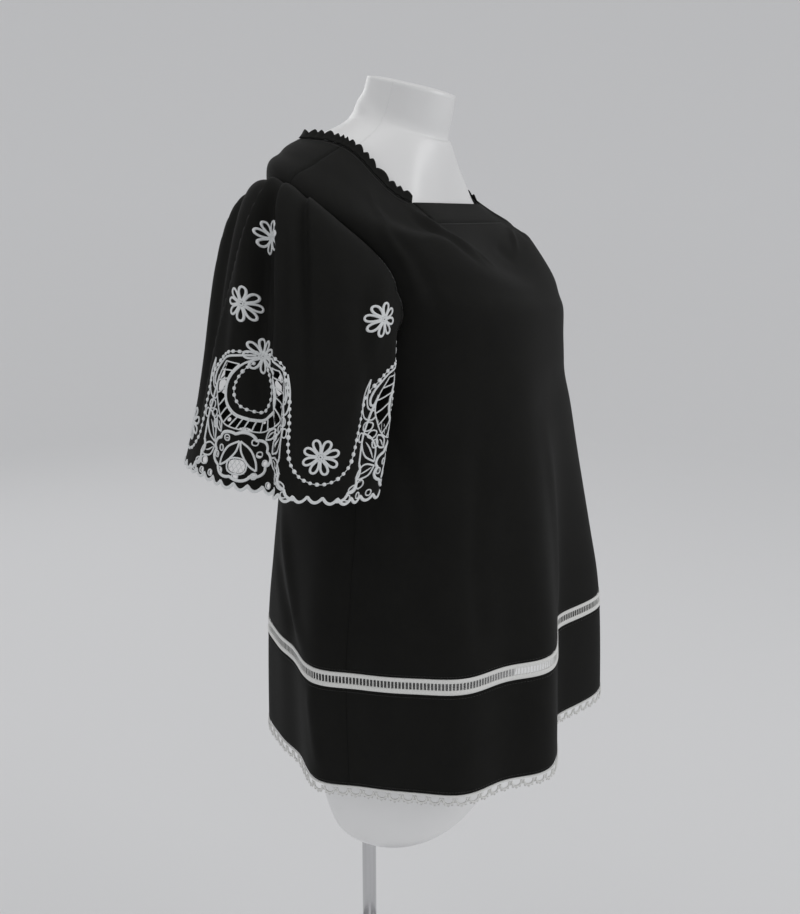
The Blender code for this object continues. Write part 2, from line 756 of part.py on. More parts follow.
def add_form(finish):
    """The dress form: a smooth limbless torso with a bore for its pole."""
    rings = [form_ring(ring, slant) for ring, slant in zip(FORM_NECK, FORM_NECK_SLANT)]
    rings += [shoulder_ring(place) for place in FORM_SHOULDER_STEPS]
    rings += [form_ring(ring) for ring in FORM_BODY]
    vertices = [point for ring in rings for point in ring]
    faces = []
    for row in range(len(rings) - 1):
        for index in range(FORM_SIDES):
            following = (index + 1) % FORM_SIDES
            a, b = row * FORM_SIDES + index, row * FORM_SIDES + following
            faces.append((a, a + FORM_SIDES, b + FORM_SIDES, b))
    top, bottom = len(vertices), len(vertices) + 1
    vertices.append(sum(rings[0], Vector()) / FORM_SIDES + Vector((0, 0, FORM_TOP_RISE)))
    vertices.append(sum(rings[-1], Vector()) / FORM_SIDES - Vector((0, 0, FORM_UNDER_DROP)))
    start = (len(rings) - 1) * FORM_SIDES
    for index in range(FORM_SIDES):
        following = (index + 1) % FORM_SIDES
        faces.append((top, index, following))
        faces.append((bottom, start + following, start + index))
    form = add_object("dress_form", vertices, faces, finish)
    face_outwards(form)
    bore = turned_solid(
        "form_bore",
        [(POLE_RADIUS + GAP, form_underside() - 0.05), (POLE_RADIUS + GAP, pole_top() + GAP)],
        finish,
    )
    bore.hide_render = True
    bore.display_type = "WIRE"
    cut = form.modifiers.new("bore", "BOOLEAN")
    cut.object = bore
    cut.operation = "DIFFERENCE"
    return form


def form_underside():
    return FORM_BODY[-1].z + LEVEL


def pole_top():
    return form_underside() + POLE_DEPTH_IN_FORM


def turned_solid(name, profile, finish):
    """A solid turned about Z from a profile of radius and height, closed at its ends."""
    vertices = [Vector((0, 0, profile[0][1]))]
    for radius, height in profile:
        for index in range(TURNED_SIDES):
            turn = 2 * pi * index / TURNED_SIDES
            vertices.append(Vector((radius * cos(turn), radius * sin(turn), height)))
    vertices.append(Vector((0, 0, profile[-1][1])))
    faces = []
    last, final = len(vertices) - 1, 1 + (len(profile) - 1) * TURNED_SIDES
    for index in range(TURNED_SIDES):
        following = (index + 1) % TURNED_SIDES
        faces.append((0, 1 + following, 1 + index))
        faces.append((last, final + index, final + following))
        for row in range(len(profile) - 1):
            a, b = 1 + row * TURNED_SIDES + index, 1 + row * TURNED_SIDES + following
            faces.append((a, b, b + TURNED_SIDES, a + TURNED_SIDES))
    made = add_object(name, vertices, faces, finish)
    face_outwards(made)
    return made


def add_stand(finish):
    """The chrome pole, and the round base plate with its hub."""
    turned_solid("pole", [(POLE_RADIUS, BORE_FLOOR + GAP), (POLE_RADIUS, pole_top())], finish)
    turned_solid(
        "base",
        [
            (BASE_RADIUS, 0.0),
            (BASE_RADIUS, BASE_THICKNESS - BASE_EDGE),
            (BASE_RADIUS - BASE_EDGE, BASE_THICKNESS),
            (HUB_RADIUS, BASE_THICKNESS),
            (HUB_RADIUS, HUB_HEIGHT),
            (POLE_RADIUS + GAP, HUB_HEIGHT),
            (POLE_RADIUS + GAP, BORE_FLOOR),
        ],
        finish,
    )


def main():
    for old in list(bpy.data.objects):
        bpy.data.objects.remove(old, do_unlink=True)
    cloth = material("black_cotton", CLOTH_COLOUR, 0.85)
    white = material("white_lace", WHITE_COLOUR, 0.75)
    add_front(cloth)
    add_back(cloth)
    add_neck_band(cloth)
    add_strips(cloth, white)
    add_hem_lace("front", -SIDE, white)
    add_hem_lace("back", SIDE, white)
    add_sleeves(cloth)
    add_ruffle(cloth)
    add_form(material("white_plastic", FORM_COLOUR, 0.35))
    add_stand(material("chrome", CHROME_COLOUR, 0.15, 1.0))


main()
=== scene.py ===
"""Looks of the tunic blouse: fine cloth shells, cutwork sleeves, trims, and the form.

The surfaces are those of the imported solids, repeated here at a finer step. Metres, +Z up,
the front faces -Y, and the wearer's left is +X."""

from math import atan, ceil, cos, pi, radians, sin
from typing import NamedTuple

import bmesh
import bpy
import numpy as np
from mathutils import Matrix, Vector
from mathutils.geometry import delaunay_2d_cdt
from mathutils.kdtree import KDTree


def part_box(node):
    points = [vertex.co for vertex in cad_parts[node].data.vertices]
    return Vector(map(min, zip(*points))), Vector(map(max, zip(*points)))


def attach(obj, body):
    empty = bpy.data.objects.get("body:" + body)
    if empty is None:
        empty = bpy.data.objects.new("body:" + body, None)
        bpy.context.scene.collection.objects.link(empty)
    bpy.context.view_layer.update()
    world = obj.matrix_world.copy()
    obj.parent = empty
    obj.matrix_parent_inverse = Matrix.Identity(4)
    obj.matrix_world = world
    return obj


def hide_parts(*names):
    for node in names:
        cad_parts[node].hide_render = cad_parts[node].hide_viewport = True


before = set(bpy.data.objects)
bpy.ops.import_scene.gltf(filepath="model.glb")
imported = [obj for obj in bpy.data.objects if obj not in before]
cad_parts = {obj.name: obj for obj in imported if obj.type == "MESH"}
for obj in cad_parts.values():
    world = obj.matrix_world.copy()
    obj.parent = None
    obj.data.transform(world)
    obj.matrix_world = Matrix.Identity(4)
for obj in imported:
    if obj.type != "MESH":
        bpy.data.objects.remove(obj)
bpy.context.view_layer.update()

bl_info = {
    "name": "Cutwork tunic blouse",
    "version": (1, 0, 0),
    "blender": (4, 5, 0),
    "location": "View3D > Sidebar > Blouse",
    "description": "A cutwork blouse with ladder insertion and lace hem on a dress form",
    "category": "Object",
}

MM = 0.001
BODY = "root"
LEVEL = 1.070
NECK_Y = -0.060
GAP = 0.0003

# The blouse's rings and places
TRIM_TOP = 7.0
TRIM_BOTTOM = 7.13
HEM = 8.0
NECK_BAND_DEPTH = 0.75
NECK_CORNER = 45.0
BAND_TAPER = 12.0
SEAM_GAP = 0.05
RING_GAP = 0.0035

# The flat pattern of the body, for the cloth's grain and the even spacing of its points
DEGREE_LENGTH = 0.0036
RING_LENGTH = 0.085
BODY_STEP = 0.0055
SLEEVE_STEP = 0.0032

# Half the span that a slope is taken over, in degrees and rings and on a flat pattern, and
# the ring that stands in for the very edge of the neck, where the slope can't be taken
SURFACE_SPAN = (0.5, 0.02)
PATTERN_SPAN = (MM, MM)
FIRST_RING = 0.03


class Ring(NamedTuple):
    """A ring of the blouse: half width, front and back reach, and its heights at 0, 45,
    90, 135 and 180 degrees, how square it is, and the angle of its side seam."""

    name: str
    half_width: float
    front: float
    back: float
    z_front: float
    z_corner: float
    z_side: float
    z_rear: float
    z_back: float
    square: float
    seam: float


RINGS = [
    Ring("neck", 0.100, -0.050, 0.095, 0.014, 0.014, 0.068, 0.082, 0.076, 7.0, 98.0),
    Ring("yoke", 0.150, -0.086, 0.112, -0.015, -0.013, 0.042, 0.066, 0.058, 3.6, 104.0),
    Ring("shoulder", 0.194, -0.118, 0.126, -0.054, -0.026, 0.008, 0.044, 0.016, 2.6, 109.0),
    Ring("chest", 0.188, -0.161, 0.132, -0.090, -0.086, -0.056, -0.040, -0.050, 2.5, 102.0),
    Ring("underarm", 0.180, -0.170, 0.130, -0.150, -0.150, -0.140, -0.140, -0.145, 2.4, 95.0),
    Ring("waist", 0.190, -0.184, 0.127, -0.270, -0.270, -0.270, -0.270, -0.270, 2.4, 91.0),
    Ring("hip", 0.213, -0.194, 0.129, -0.375, -0.375, -0.375, -0.375, -0.375, 2.3, 90.0),
    Ring("trim", 0.226, -0.200, 0.132, -0.459, -0.459, -0.459, -0.459, -0.459, 2.2, 90.0),
    Ring("hem", 0.223, -0.204, 0.134, -0.588, -0.588, -0.588, -0.588, -0.588, 2.2, 90.0),
]


class Fold(NamedTuple):
    """A broad ridge, or with a negative depth a trough, that deepens towards the hem."""

    name: str
    angle: float
    half_width: float
    depth: float
    start: float


FOLDS = [
    Fold("right_bust", -30.0, 13.0, 0.026, 3.0),
    Fold("right_front", -58.0, 10.0, 0.015, 4.0),
    Fold("centre_front", 6.0, 14.0, -0.018, 3.5),
    Fold("left_bust", 36.0, 13.0, 0.029, 3.8),
    Fold("left_front", 63.0, 10.0, 0.012, 4.2),
    Fold("left_side", 98.0, 9.0, 0.011, 4.4),
    Fold("right_side", -98.0, 8.0, 0.013, 4.2),
    Fold("right_hollow", -114.0, 8.0, -0.007, 4.4),
    Fold("right_back", -143.0, 12.0, 0.018, 3.6),
    Fold("centre_back", -172.0, 11.0, -0.010, 4.0),
    Fold("left_back", 150.0, 12.0, 0.016, 3.8),
    Fold("left_hollow", 122.0, 9.0, -0.008, 4.4),
]


class Crease(NamedTuple):
    """A crease along a path of angle and ring, with its half width and depth in metres."""

    name: str
    path: tuple
    half_width: float
    depth: float


CREASES = [
    Crease("bust_drag", ((-52, 0.1), (-38, 0.8), (-31, 1.5), (-20, 2.35)), 0.007, 0.0030),
    Crease("under_drag", ((-50, 0.5), (-40, 1.1), (-33, 1.8), (-24, 2.5)), 0.008, -0.0022),
    Crease("second_drag", ((-28, 1.55), (-15, 2.25)), 0.006, 0.0020),
    Crease("band_hollow", ((2, 1.4), (8, 2.0)), 0.015, -0.0020),
    Crease("left_drag", ((40, 0.9), (27, 1.3), (12, 1.9)), 0.007, 0.0026),
    Crease("left_under_drag", ((44, 1.3), (30, 1.9)), 0.008, -0.0018),
    Crease("arm_fold", ((-72, 0.5), (-62, 1.5), (-60, 2.6), (-64, 3.4)), 0.009, 0.0022),
    Crease("arm_hollow", ((-66, 1.2), (-55, 2.4), (-56, 3.6)), 0.012, -0.0018),
    Crease("right_waist", ((-84, 4.1), (-70, 4.9), (-62, 5.8)), 0.013, -0.0035),
    Crease("right_flank", ((-92, 4.4), (-80, 5.4), (-76, 6.6)), 0.012, 0.0030),
    Crease("back_diagonal", ((-138, 5.2), (-126, 5.9), (-117, 6.6), (-104, 7.0)), 0.011, 0.0042),
    Crease("back_under", ((-140, 5.8), (-128, 6.5), (-118, 7.0)), 0.012, -0.0034),
    Crease("border_side", ((-105, 7.1), (-99, 7.9)), 0.010, 0.0030),
    Crease("front_soft", ((-12, 4.4), (-6, 5.8), (-9, 7.0)), 0.016, 0.0030),
    Crease("front_long", ((-44, 4.2), (-47, 5.6), (-44, 7.0)), 0.012, -0.0036),
    Crease("left_waist", ((82, 4.2), (70, 5.0), (64, 6.0)), 0.013, -0.0034),
    Crease("left_flank", ((88, 4.5), (80, 5.6), (78, 6.8)), 0.012, 0.0028),
    Crease("left_arm_fold", ((70, 0.6), (61, 1.6), (62, 2.8)), 0.009, 0.0020),
    Crease("back_blade", ((205, 1.3), (215, 2.6), (213, 3.8)), 0.014, 0.0026),
    Crease("back_centre", ((180, 2.2), (176, 3.6), (184, 5.2)), 0.018, -0.0026),
    Crease("back_left_blade", ((152, 1.4), (146, 2.8), (150, 4.2)), 0.014, 0.0024),
    Crease("back_low", ((168, 5.0), (163, 6.2), (166, 7.0)), 0.014, 0.0032),
]

# The armhole's oval in angle and ring, and the sleeve's hem oval in metres
ARMHOLE_ANGLE = 100.0
ARMHOLE_BULGE = 6.5
ARMHOLE_HALF_ANGLE = 31.0
ARMHOLE_LEAN = 7.0
ARMHOLE_RING = 3.0
ARMHOLE_HALF_HEIGHT = 1.0
HEM_X = 0.264
HEM_Y = 0.019
HEM_Z = -0.249
HEM_TILT = 0.011
HEM_HALF_X = 0.062
HEM_HALF_Y = 0.101

# The sleeve's way from armhole to hem. A pair is the amount under the arm and what the top
# adds to it. A spread goes by the sine of the turn and by the square of that.
HEAD_PUFF_OUT = (0.020, 0.028)
HEAD_PUFF_UP = (-0.004, 0.042)
HEAD_PUFF_NORMAL = 0.012
HEAD_SPREAD = (-0.018, 0.008)
FALL_SPREAD = (0.006, -0.014)
HEM_FALL = (0.05, 0.10)
HEM_FALL_IN = 0.055


class SleeveFold(NamedTuple):
    """A fold of the sleeve: its turn and its depth at five places from armhole to hem.
    Turn 0 is the outer side and 90 the front."""

    name: str
    turns: tuple
    half_width: float
    depths: tuple


SLEEVE_FOLDS = [
    SleeveFold("back_swell", (-60, -58, -60, -64, -68), 10, (0.002, 0.006, 0.006, 0.003, 0.001)),
    SleeveFold("back_crease", (-45, -42, -44, -48, -52), 5, (-0.002, -0.005, -0.004, -0.002, 0)),
    SleeveFold("outer_swell", (-3, -5, -13, -17, -12), 7, (0.001, 0.004, 0.006, 0.005, 0.004)),
    SleeveFold("deep_fold", (-1, -3, -4, -1, 9), 6, (-0.002, -0.007, -0.013, -0.010, -0.006)),
    SleeveFold("front_swell", (12, 14, 18, 21, 27), 7, (0.001, 0.005, 0.009, 0.007, 0.005)),
    SleeveFold("low_swell", (28, 36, 45, 52, 56), 11, (0.001, 0.003, 0.004, 0.003, 0.003)),
    SleeveFold("soft_diagonal", (70, 76, 72, 58, 44), 6, (0, 0.001, 0.004, 0.003, 0)),
    SleeveFold("front_hollow", (66, 66, 62, 70, 78), 8, (0, -0.002, -0.003, -0.004, -0.004)),
    SleeveFold("front_edge", (88, 90, 96, 98, 100), 12, (0, 0.002, 0.004, 0.004, 0.003)),
    SleeveFold("inner_hollow", (135, 135, 138, 140, 142), 14, (0, 0, -0.003, -0.005, -0.006)),
    SleeveFold("back_hem", (-98, -98, -100, -104, -106), 13, (0, 0, 0.002, 0.005, 0.007)),
    SleeveFold("back_hem_hollow", (-130, -130, -132, -134, -136), 13, (0, 0, -0.002, -0.004, -0.006)),
]


class Pleat(NamedTuple):
    """A knife pleat: the cloth steps up along a line, then settles on either side."""

    name: str
    turns: tuple
    half_width: float
    heights: tuple


# How sharp a pleat's edge is in degrees, where folds and pleats have come in, how many parts
# their lists have, and how much more the head is pushed up than out
PLEAT_STEP = 0.7
FOLD_START = 0.08
PLEAT_START = 0.02
FOLD_PARTS = 4
HEAD_LIFT = 1.5
PLEATS = [
    Pleat("back", (-50, -54, -62, -68, -72), 12, (0.0024, 0.0028, 0.0016, 0, 0)),
    Pleat("outer", (-13, -11, -21, -42, -52), 12, (0.0028, 0.0044, 0.0040, 0.0020, 0)),
    Pleat("deep", (4, 3, 7, 10, 18), 11, (0.0028, 0.0052, 0.0066, 0.0052, 0.0042)),
    Pleat("front", (18, 24, 28, 30, 31), 10, (0.0028, 0.0038, 0.0034, 0.0010, 0)),
]

# The sleeve's cutwork border, in millimetres from the flower's middle line and the hem
REPEATS = 3
SCALLOPS = 39
SCALLOP_RISE = 5.4
FLOWER_TURN = -6.0
FLOWER_UP = 32.0
FLOWER_HALF_WIDTH = 32.0
FLOWER_HALF_HEIGHT = 22.5
LOBE_HALF_WIDTH = 40.0
CORD_WIDTH = 1.7
CORD_HEIGHT = 0.9
DAISY_RADIUS = 17.5
KNOT_RADIUS = 1.5

# The embroidery's cords by width and height, in millimetres
RIM_CORD = (1.5, 0.9)
EYELET_CORD = (1.4, 0.9)
SCROLL_CORD = (2.3, 1.0)
LOBE_CORD = (2.4, 1.0)
FOOT_CORD = (3.0, 1.3)
FLOWER_CORD = (3.2, 1.3)
MESH_RIM_CORD = (1.8, 1.0)
MESH_BAR = (0.7, 0.5)
PETAL_CORD = (2.5, 1.1)
KNOT_CORD = (2.0, 1.2)
VEIN_CORD = (1.6, 0.8)
LEAF_WIDTH = 1.9
DROP_WIDTH = 2.1


class Opening(NamedTuple):
    """A cut-out in half a repeat: along and up, half sizes, and lean in degrees."""

    name: str
    along: float
    up: float
    half_width: float
    half_height: float
    lean: float


OPENINGS = [
    Opening("edge_upper", 48.4, 71.6, 3.4, 3.6, 4.0),
    Opening("edge_middle", 42.4, 64.2, 2.8, 3.0, 20.0),
    Opening("edge_low", 53.6, 62.0, 2.0, 3.6, 0.0),
    Opening("leaf_gap", 36.6, 55.2, 2.2, 3.4, -20.0),
    Opening("border_near", 46.0, 17.6, 4.4, 3.0, -14.0),
    Opening("border_far", 56.0, 14.4, 3.8, 2.4, -26.0),
]
# The net of cells round the teardrop: its inner and outer curves and the cells' ends
NET_INNER = [(17.5, 117.5), (25.6, 105), (29.6, 92), (27, 78.5), (16, 69.4), (0, 66.6)]
NET_OUTER = [(32, 116.5), (41.5, 104), (45, 92), (43, 79), (35.5, 66.5), (21, 58.4), (0, 56.4)]
NET_ENDS = [0.0, 0.13, 0.26, 0.39, 0.52, 0.64, 0.75, 0.84, 0.92, 1.0]
NET_BAR = 1.4
NET_BAR_HEIGHT = 0.8
EYELETS = [
    ("petal_top", 13.6, 47.0),
    ("petal_side", 19.5, 36.0),
    ("petal_outer", 26.4, 28.2),
    ("petal_low", 17.6, 15.2),
    ("hem_near", 33.6, 8.4),
    ("hem_middle", 47.0, 7.4),
    ("hem_far", 60.4, 6.8),
]
EYELET_RADIUS = 2.2
MESH_HALF_WIDTH = 8.6
MESH_HALF_HEIGHT = 6.4
MESH_UP = 22.5
BUD_UP = 12.6
BUD_RADIUS = 2.4
DOT_PITCH = 0.0066
DOT_SIZE = (0.0043, 0.0037, 0.0014)
# How far the cloth stops short of its seam, and how far in the cut-outs begin
SLEEVE_SEAM_GAP = 0.0001
SLEEVE_SEAM_MARGIN = 0.0016
TEARDROP_OFFSET = 8.0
TEARDROP = [(3, 127), (15, 118), (24, 105), (28, 92), (25.5, 79), (15, 70.5), (0, 68)]
DOTTED_DROP = [(7, 121), (14, 112), (19, 100), (19.5, 89), (14.5, 80), (7, 76.6), (0, 76)]
SCROLL = [(6, 129), (20, 125), (34, 119.5), (44.5, 110), (49, 99), (48.4, 91.6), (45.4, 92)]
CRESCENT_OUTER = [(51, 116), (55, 102), (55.6, 89), (52.4, 80), (46.6, 77.6), (43.6, 81)]
CRESCENT_INNER = [(51, 116), (51.8, 104), (51.6, 95), (49.6, 88.4), (45, 86.4)]

DAISIES = [
    (-13.0, 0.174),
    (-1.0, 0.245),
    (76.0, 0.172),
    (-90.0, 0.172),
    (-104.0, 0.150),
    (140.0, 0.118),
    (-150.0, 0.118),
]

# The neck ruffle, with waves of size, rate and start that make it uneven
RUFFLE_WAVES = 46
RUFFLE_POINTS = 12
RUFFLE_ROWS = 6
RUFFLE_HEIGHT = 0.0075
RUFFLE_FOOT = 0.0035
RUFFLE_THICKNESS = 0.0007
RUFFLE_OUT = 0.0012
RUFFLE_LEAN = 0.0006
RUFFLE_SWING = 0.0030
RUFFLE_END = 0.8
RUFFLE_DRIFT = [(0.35, 31, 0), (0.2, 77, 1)]
RUFFLE_TALLNESS = [(0.10, 143, 0), (0.07, 61, 0)]

class FormRing(NamedTuple):
    """A ring of the form: its height, its half width, and its front and back reach."""

    name: str
    z: float
    half_width: float
    front: float
    back: float


FORM_NECK = [
    FormRing("neck_top", 0.140, 0.0475, -0.048, 0.048),
    FormRing("neck_middle", 0.118, 0.0475, -0.043, 0.053),
    FormRing("neck_low", 0.100, 0.0500, -0.039, 0.060),
    FormRing("neck_base", 0.086, 0.0620, -0.043, 0.070),
]
FORM_BODY = [
    FormRing("bust_low", -0.145, 0.155, -0.140, 0.108),
    FormRing("ribs", -0.200, 0.135, -0.112, 0.096),
    FormRing("waist", -0.270, 0.122, -0.098, 0.084),
    FormRing("high_hip", -0.360, 0.145, -0.108, 0.098),
    FormRing("hip", -0.450, 0.166, -0.120, 0.108),
    FormRing("seat", -0.540, 0.170, -0.124, 0.106),
    FormRing("thigh", -0.640, 0.160, -0.114, 0.096),
    FormRing("low", -0.700, 0.145, -0.100, 0.084),
    FormRing("turn", -0.726, 0.126, -0.086, 0.072),
    FormRing("under", -0.738, 0.092, -0.064, 0.050),
]
FORM_STEPS = [0.0, 0.5, 1.0, 1.5, 2.0, 2.5, 3.0]
FORM_SIDES = 96
FORM_SQUARE = 2.2
FORM_DEPTH_BELOW_CLOTH = 0.0047
FORM_DEPTH_AT_NECK = 0.0035
FORM_TOP_RISE = 0.0030
FORM_BOTTOM_DROP = 0.0020
# How steeply each ring of the form's neck slopes down to the front
NECK_SLANTS = [0.245, 0.36, 0.46, 0.30]
PARTING_ROWS = slice(6, 26)
PARTING_RADIUS = 0.0007
ROUNDED_EDGE = 0.0006
BASE_THICKNESS = 0.006
HUB_RADIUS = 0.017
HUB_BORE = 0.0096

# The stage: lights by name, place, size in metres and power in watts
LIGHTS = [
    ("key", (0.9, -2.6, 2.6), 1.8, 21.0),
    ("fill", (-2.6, -1.6, 1.9), 2.2, 8.5),
    ("top", (-0.2, 0.6, 3.2), 2.4, 14.0),
    ("back", (1.6, 2.4, 2.2), 1.8, 10.0),
]
LIGHT_AIM = (0.0, 0.0, 0.85)
WORLD_STRENGTH = 0.34
BACKDROP_REACH = 5.0
BACKDROP_BEND = 1.2
BACKDROP_TOP = 4.2
BACKDROP_SIDES = 96
FLOOR_HEIGHT = -0.0005
FLOOR_RADII = (0.02, 0.5, 1.5, 3.0)

# The camera, at the photo's viewing angle
IMAGE_HEIGHT = 914
FOCAL_PIXELS = 1045.0
SENSOR = 36.0
CAMERA_AZIMUTH = -65.0
CAMERA_DISTANCE = 1.22
CAMERA_PITCH = 13.0
CAMERA_SIDE_PIXELS = 11.0


# Surfaces
def smoothstep(value):
    value = np.clip(value, 0.0, 1.0)
    return value * value * (3 - 2 * value)


def turned(angle):
    """The angle brought between -180 and 180 degrees."""
    return (angle + 180.0) % 360.0 - 180.0


def spline(values, place):
    """A smooth value through a list at whole numbers. Each value may be an array."""
    values = np.asarray(values, float)
    place = np.asarray(place, float)
    last = len(values) - 1
    index = np.clip(place.astype(int), 0, last - 1)
    part = place - index

    def at(row):
        row = np.clip(row, 0, last)
        return values[row] if values.ndim == 1 else np.take_along_axis(values, row[None], axis=0)[0]

    before, here, there, after = (at(index + step) for step in (-1, 0, 1, 2))
    slope, next_slope = (there - before) / 2, (after - here) / 2
    square, cube = part**2, part**3
    return (
        here * (2 * cube - 3 * square + 1)
        + slope * (cube - 2 * square + part)
        + there * (3 * square - 2 * cube)
        + next_slope * (cube - square)
    )


def column(name):
    return [getattr(ring, name) for ring in RINGS]


def ring_height(heights, angle):
    """The height at an angle: eased across the front edge, then smooth to the back."""
    eighth = np.abs(turned(angle)) / 45.0
    front = heights[0] + (heights[1] - heights[0]) * smoothstep(eighth)
    rest = spline(heights[1:], np.clip(eighth - 1.0, 0.0, 3.0))
    return np.where(eighth < 1.0, front, rest)


def blouse(angle, place):
    """Points of the blouse: angle 0 is the front, place is the ring number."""
    angle, place = np.broadcast_arrays(np.asarray(angle, float), np.asarray(place, float))
    front, back = spline(column("front"), place), spline(column("back"), place)
    square = spline(column("square"), place)
    middle, half_depth = (front + back) / 2, (back - front) / 2
    across, ahead = np.sin(np.radians(angle)), np.cos(np.radians(angle))
    reach = (np.abs(across) ** square + np.abs(ahead) ** square) ** (-1 / square)
    x = spline(column("half_width"), place) * across * reach
    y = middle - half_depth * ahead * reach
    names = ("z_front", "z_corner", "z_side", "z_rear", "z_back")
    z = ring_height(np.array([spline(column(name), place) for name in names]), angle)
    bearing = np.degrees(np.arctan2(x, middle - y))
    push = np.zeros_like(x)
    for fold in FOLDS:
        off = turned(bearing - fold.angle) / fold.half_width
        push += fold.depth * np.exp(-off * off) * smoothstep((place - fold.start) / (HEM - fold.start))
    length = np.hypot(x, y - middle)
    x, y = x + push * x / length, y + push * (y - middle) / length
    return np.stack([x, y + NECK_Y, z + LEVEL], axis=-1)


def unit(vectors):
    return vectors / np.linalg.norm(vectors, axis=-1, keepdims=True)


def normals(surface, first, second, outside, steps):
    """The surface's unit normals, on the side that outside says."""
    along = surface(first + steps[0], second) - surface(first - steps[0], second)
    down = surface(first, second + steps[1]) - surface(first, second - steps[1])
    return unit(np.cross(along, down)) * outside


def distance_to_path(x, y, path):
    """The distance of flat points from a path, and how far along it they are."""
    best, place = np.full(x.shape, np.inf), np.zeros(x.shape)
    for index, ((ax, ay), (bx, by)) in enumerate(zip(path, path[1:])):
        run, rise = bx - ax, by - ay
        part = ((x - ax) * run + (y - ay) * rise) / (run * run + rise * rise)
        part = np.clip(part, 0.0, 1.0)
        away = np.hypot(x - ax - part * run, y - ay - part * rise)
        nearer = away < best
        best = np.where(nearer, away, best)
        place = np.where(nearer, (index + part) / (len(path) - 1), place)
    return best, place


def crease_push(angle, place):
    """How far the small creases push the cloth out, faded at the ends of each."""
    x, y = turned(angle) * DEGREE_LENGTH, place * RING_LENGTH
    push = np.zeros(x.shape)
    for crease in CREASES:
        path = [(turned(a) * DEGREE_LENGTH, ring * RING_LENGTH) for a, ring in crease.path]
        away, along = distance_to_path(x, y, path)
        fade = smoothstep(along / 0.3) * smoothstep((1 - along) / 0.3)
        push += crease.depth * np.exp(-((away / crease.half_width) ** 2)) * fade
    return push


def run_along(path):
    """How far along a path each of its points is."""
    return np.concatenate([[0.0], np.cumsum(np.linalg.norm(np.diff(path, axis=0), axis=1))])


def at_runs(path, run, wanted):
    """Flat points at the wanted distances along a path."""
    return np.stack([np.interp(wanted, run, path[:, axis]) for axis in (0, 1)], axis=1)


def circle(sides):
    return np.linspace(0.0, 2 * pi, sides, endpoint=False)


def signed_power(value, power):
    return np.sign(value) * np.abs(value) ** power


def body_flat(x, y):
    """Points of the creased blouse from its flat pattern in metres."""
    angle, place = x / DEGREE_LENGTH, y / RING_LENGTH
    outward = normals(blouse, angle, np.maximum(place, FIRST_RING), -1.0, SURFACE_SPAN)
    return blouse(angle, place) + outward * crease_push(angle, place)[..., None]


def armhole(turn):
    """The armhole of the left side, as the blouse's angle and ring."""
    turn = np.radians(turn)
    upper_front = np.clip(np.sin(turn), 0, 1) * np.clip(np.sin(2 * turn), 0, 1)
    angle = ARMHOLE_ANGLE + ARMHOLE_LEAN * np.cos(turn) - ARMHOLE_HALF_ANGLE * np.sin(turn)
    ring = ARMHOLE_RING - ARMHOLE_HALF_HEIGHT * np.cos(turn)
    return angle - ARMHOLE_BULGE * upper_front, ring


def blend(amounts, top):
    """The first amount under the arm, and both together at the top of the sleeve."""
    return amounts[0] + amounts[1] * top


def spread(amounts, ahead):
    """A shift by the sine of the turn and by its square."""
    return amounts[0] * ahead + amounts[1] * ahead**2


def sleeve_push(turn, place):
    """How far the folds and the pleats push the sleeve out."""
    push = np.zeros_like(turn)
    knots = place * FOLD_PARTS
    for fold in SLEEVE_FOLDS:
        off = turned(turn - spline(fold.turns, knots)) / fold.half_width
        push += spline(fold.depths, knots) * np.exp(-off * off)
    push *= smoothstep(place / FOLD_START)
    for pleat in PLEATS:
        off = turned(turn - spline(pleat.turns, knots))
        step = np.tanh(off / PLEAT_STEP) * np.exp(-((off / pleat.half_width) ** 2))
        push += spline(pleat.heights, knots) * step * smoothstep(place / PLEAT_START)
    return push


def sleeve(turn, place):
    """Points of the left sleeve, 0 at the armhole and 1 at the hem."""
    turn, place = np.broadcast_arrays(np.asarray(turn, float), np.asarray(place, float))
    angle, ring = armhole(turn)
    outward = normals(blouse, angle, ring, -1.0, SURFACE_SPAN)
    outward[..., 2] = np.maximum(outward[..., 2], 0.0)
    across, ahead = np.cos(np.radians(turn)), np.sin(np.radians(turn))
    top = 0.5 + 0.5 * across
    start = blouse(angle, ring) - outward * GAP
    end = np.stack([
        HEM_X + HEM_HALF_X * across,
        HEM_Y + NECK_Y - HEM_HALF_Y * ahead,
        HEM_Z - HEM_TILT * ahead + LEVEL,
    ], axis=-1)
    puff = [blend(HEAD_PUFF_OUT, top), spread(HEAD_SPREAD, ahead), blend(HEAD_PUFF_UP, top)]
    lead = start + outward * HEAD_PUFF_NORMAL + np.stack(puff, axis=-1)
    drop = [-HEM_FALL_IN * top, spread(FALL_SPREAD, ahead), blend(HEM_FALL, top)]
    fall = end + np.stack(drop, axis=-1)
    part = place[..., None]
    rest = 1 - part
    points = start * rest**3 + lead * (3 * rest**2 * part)
    points += fall * (3 * rest * part**2) + end * part**3
    away = unit(np.stack([across, -ahead, HEAD_LIFT * top * (1 - place)], axis=-1))
    return points + away * sleeve_push(turn, place)[..., None]


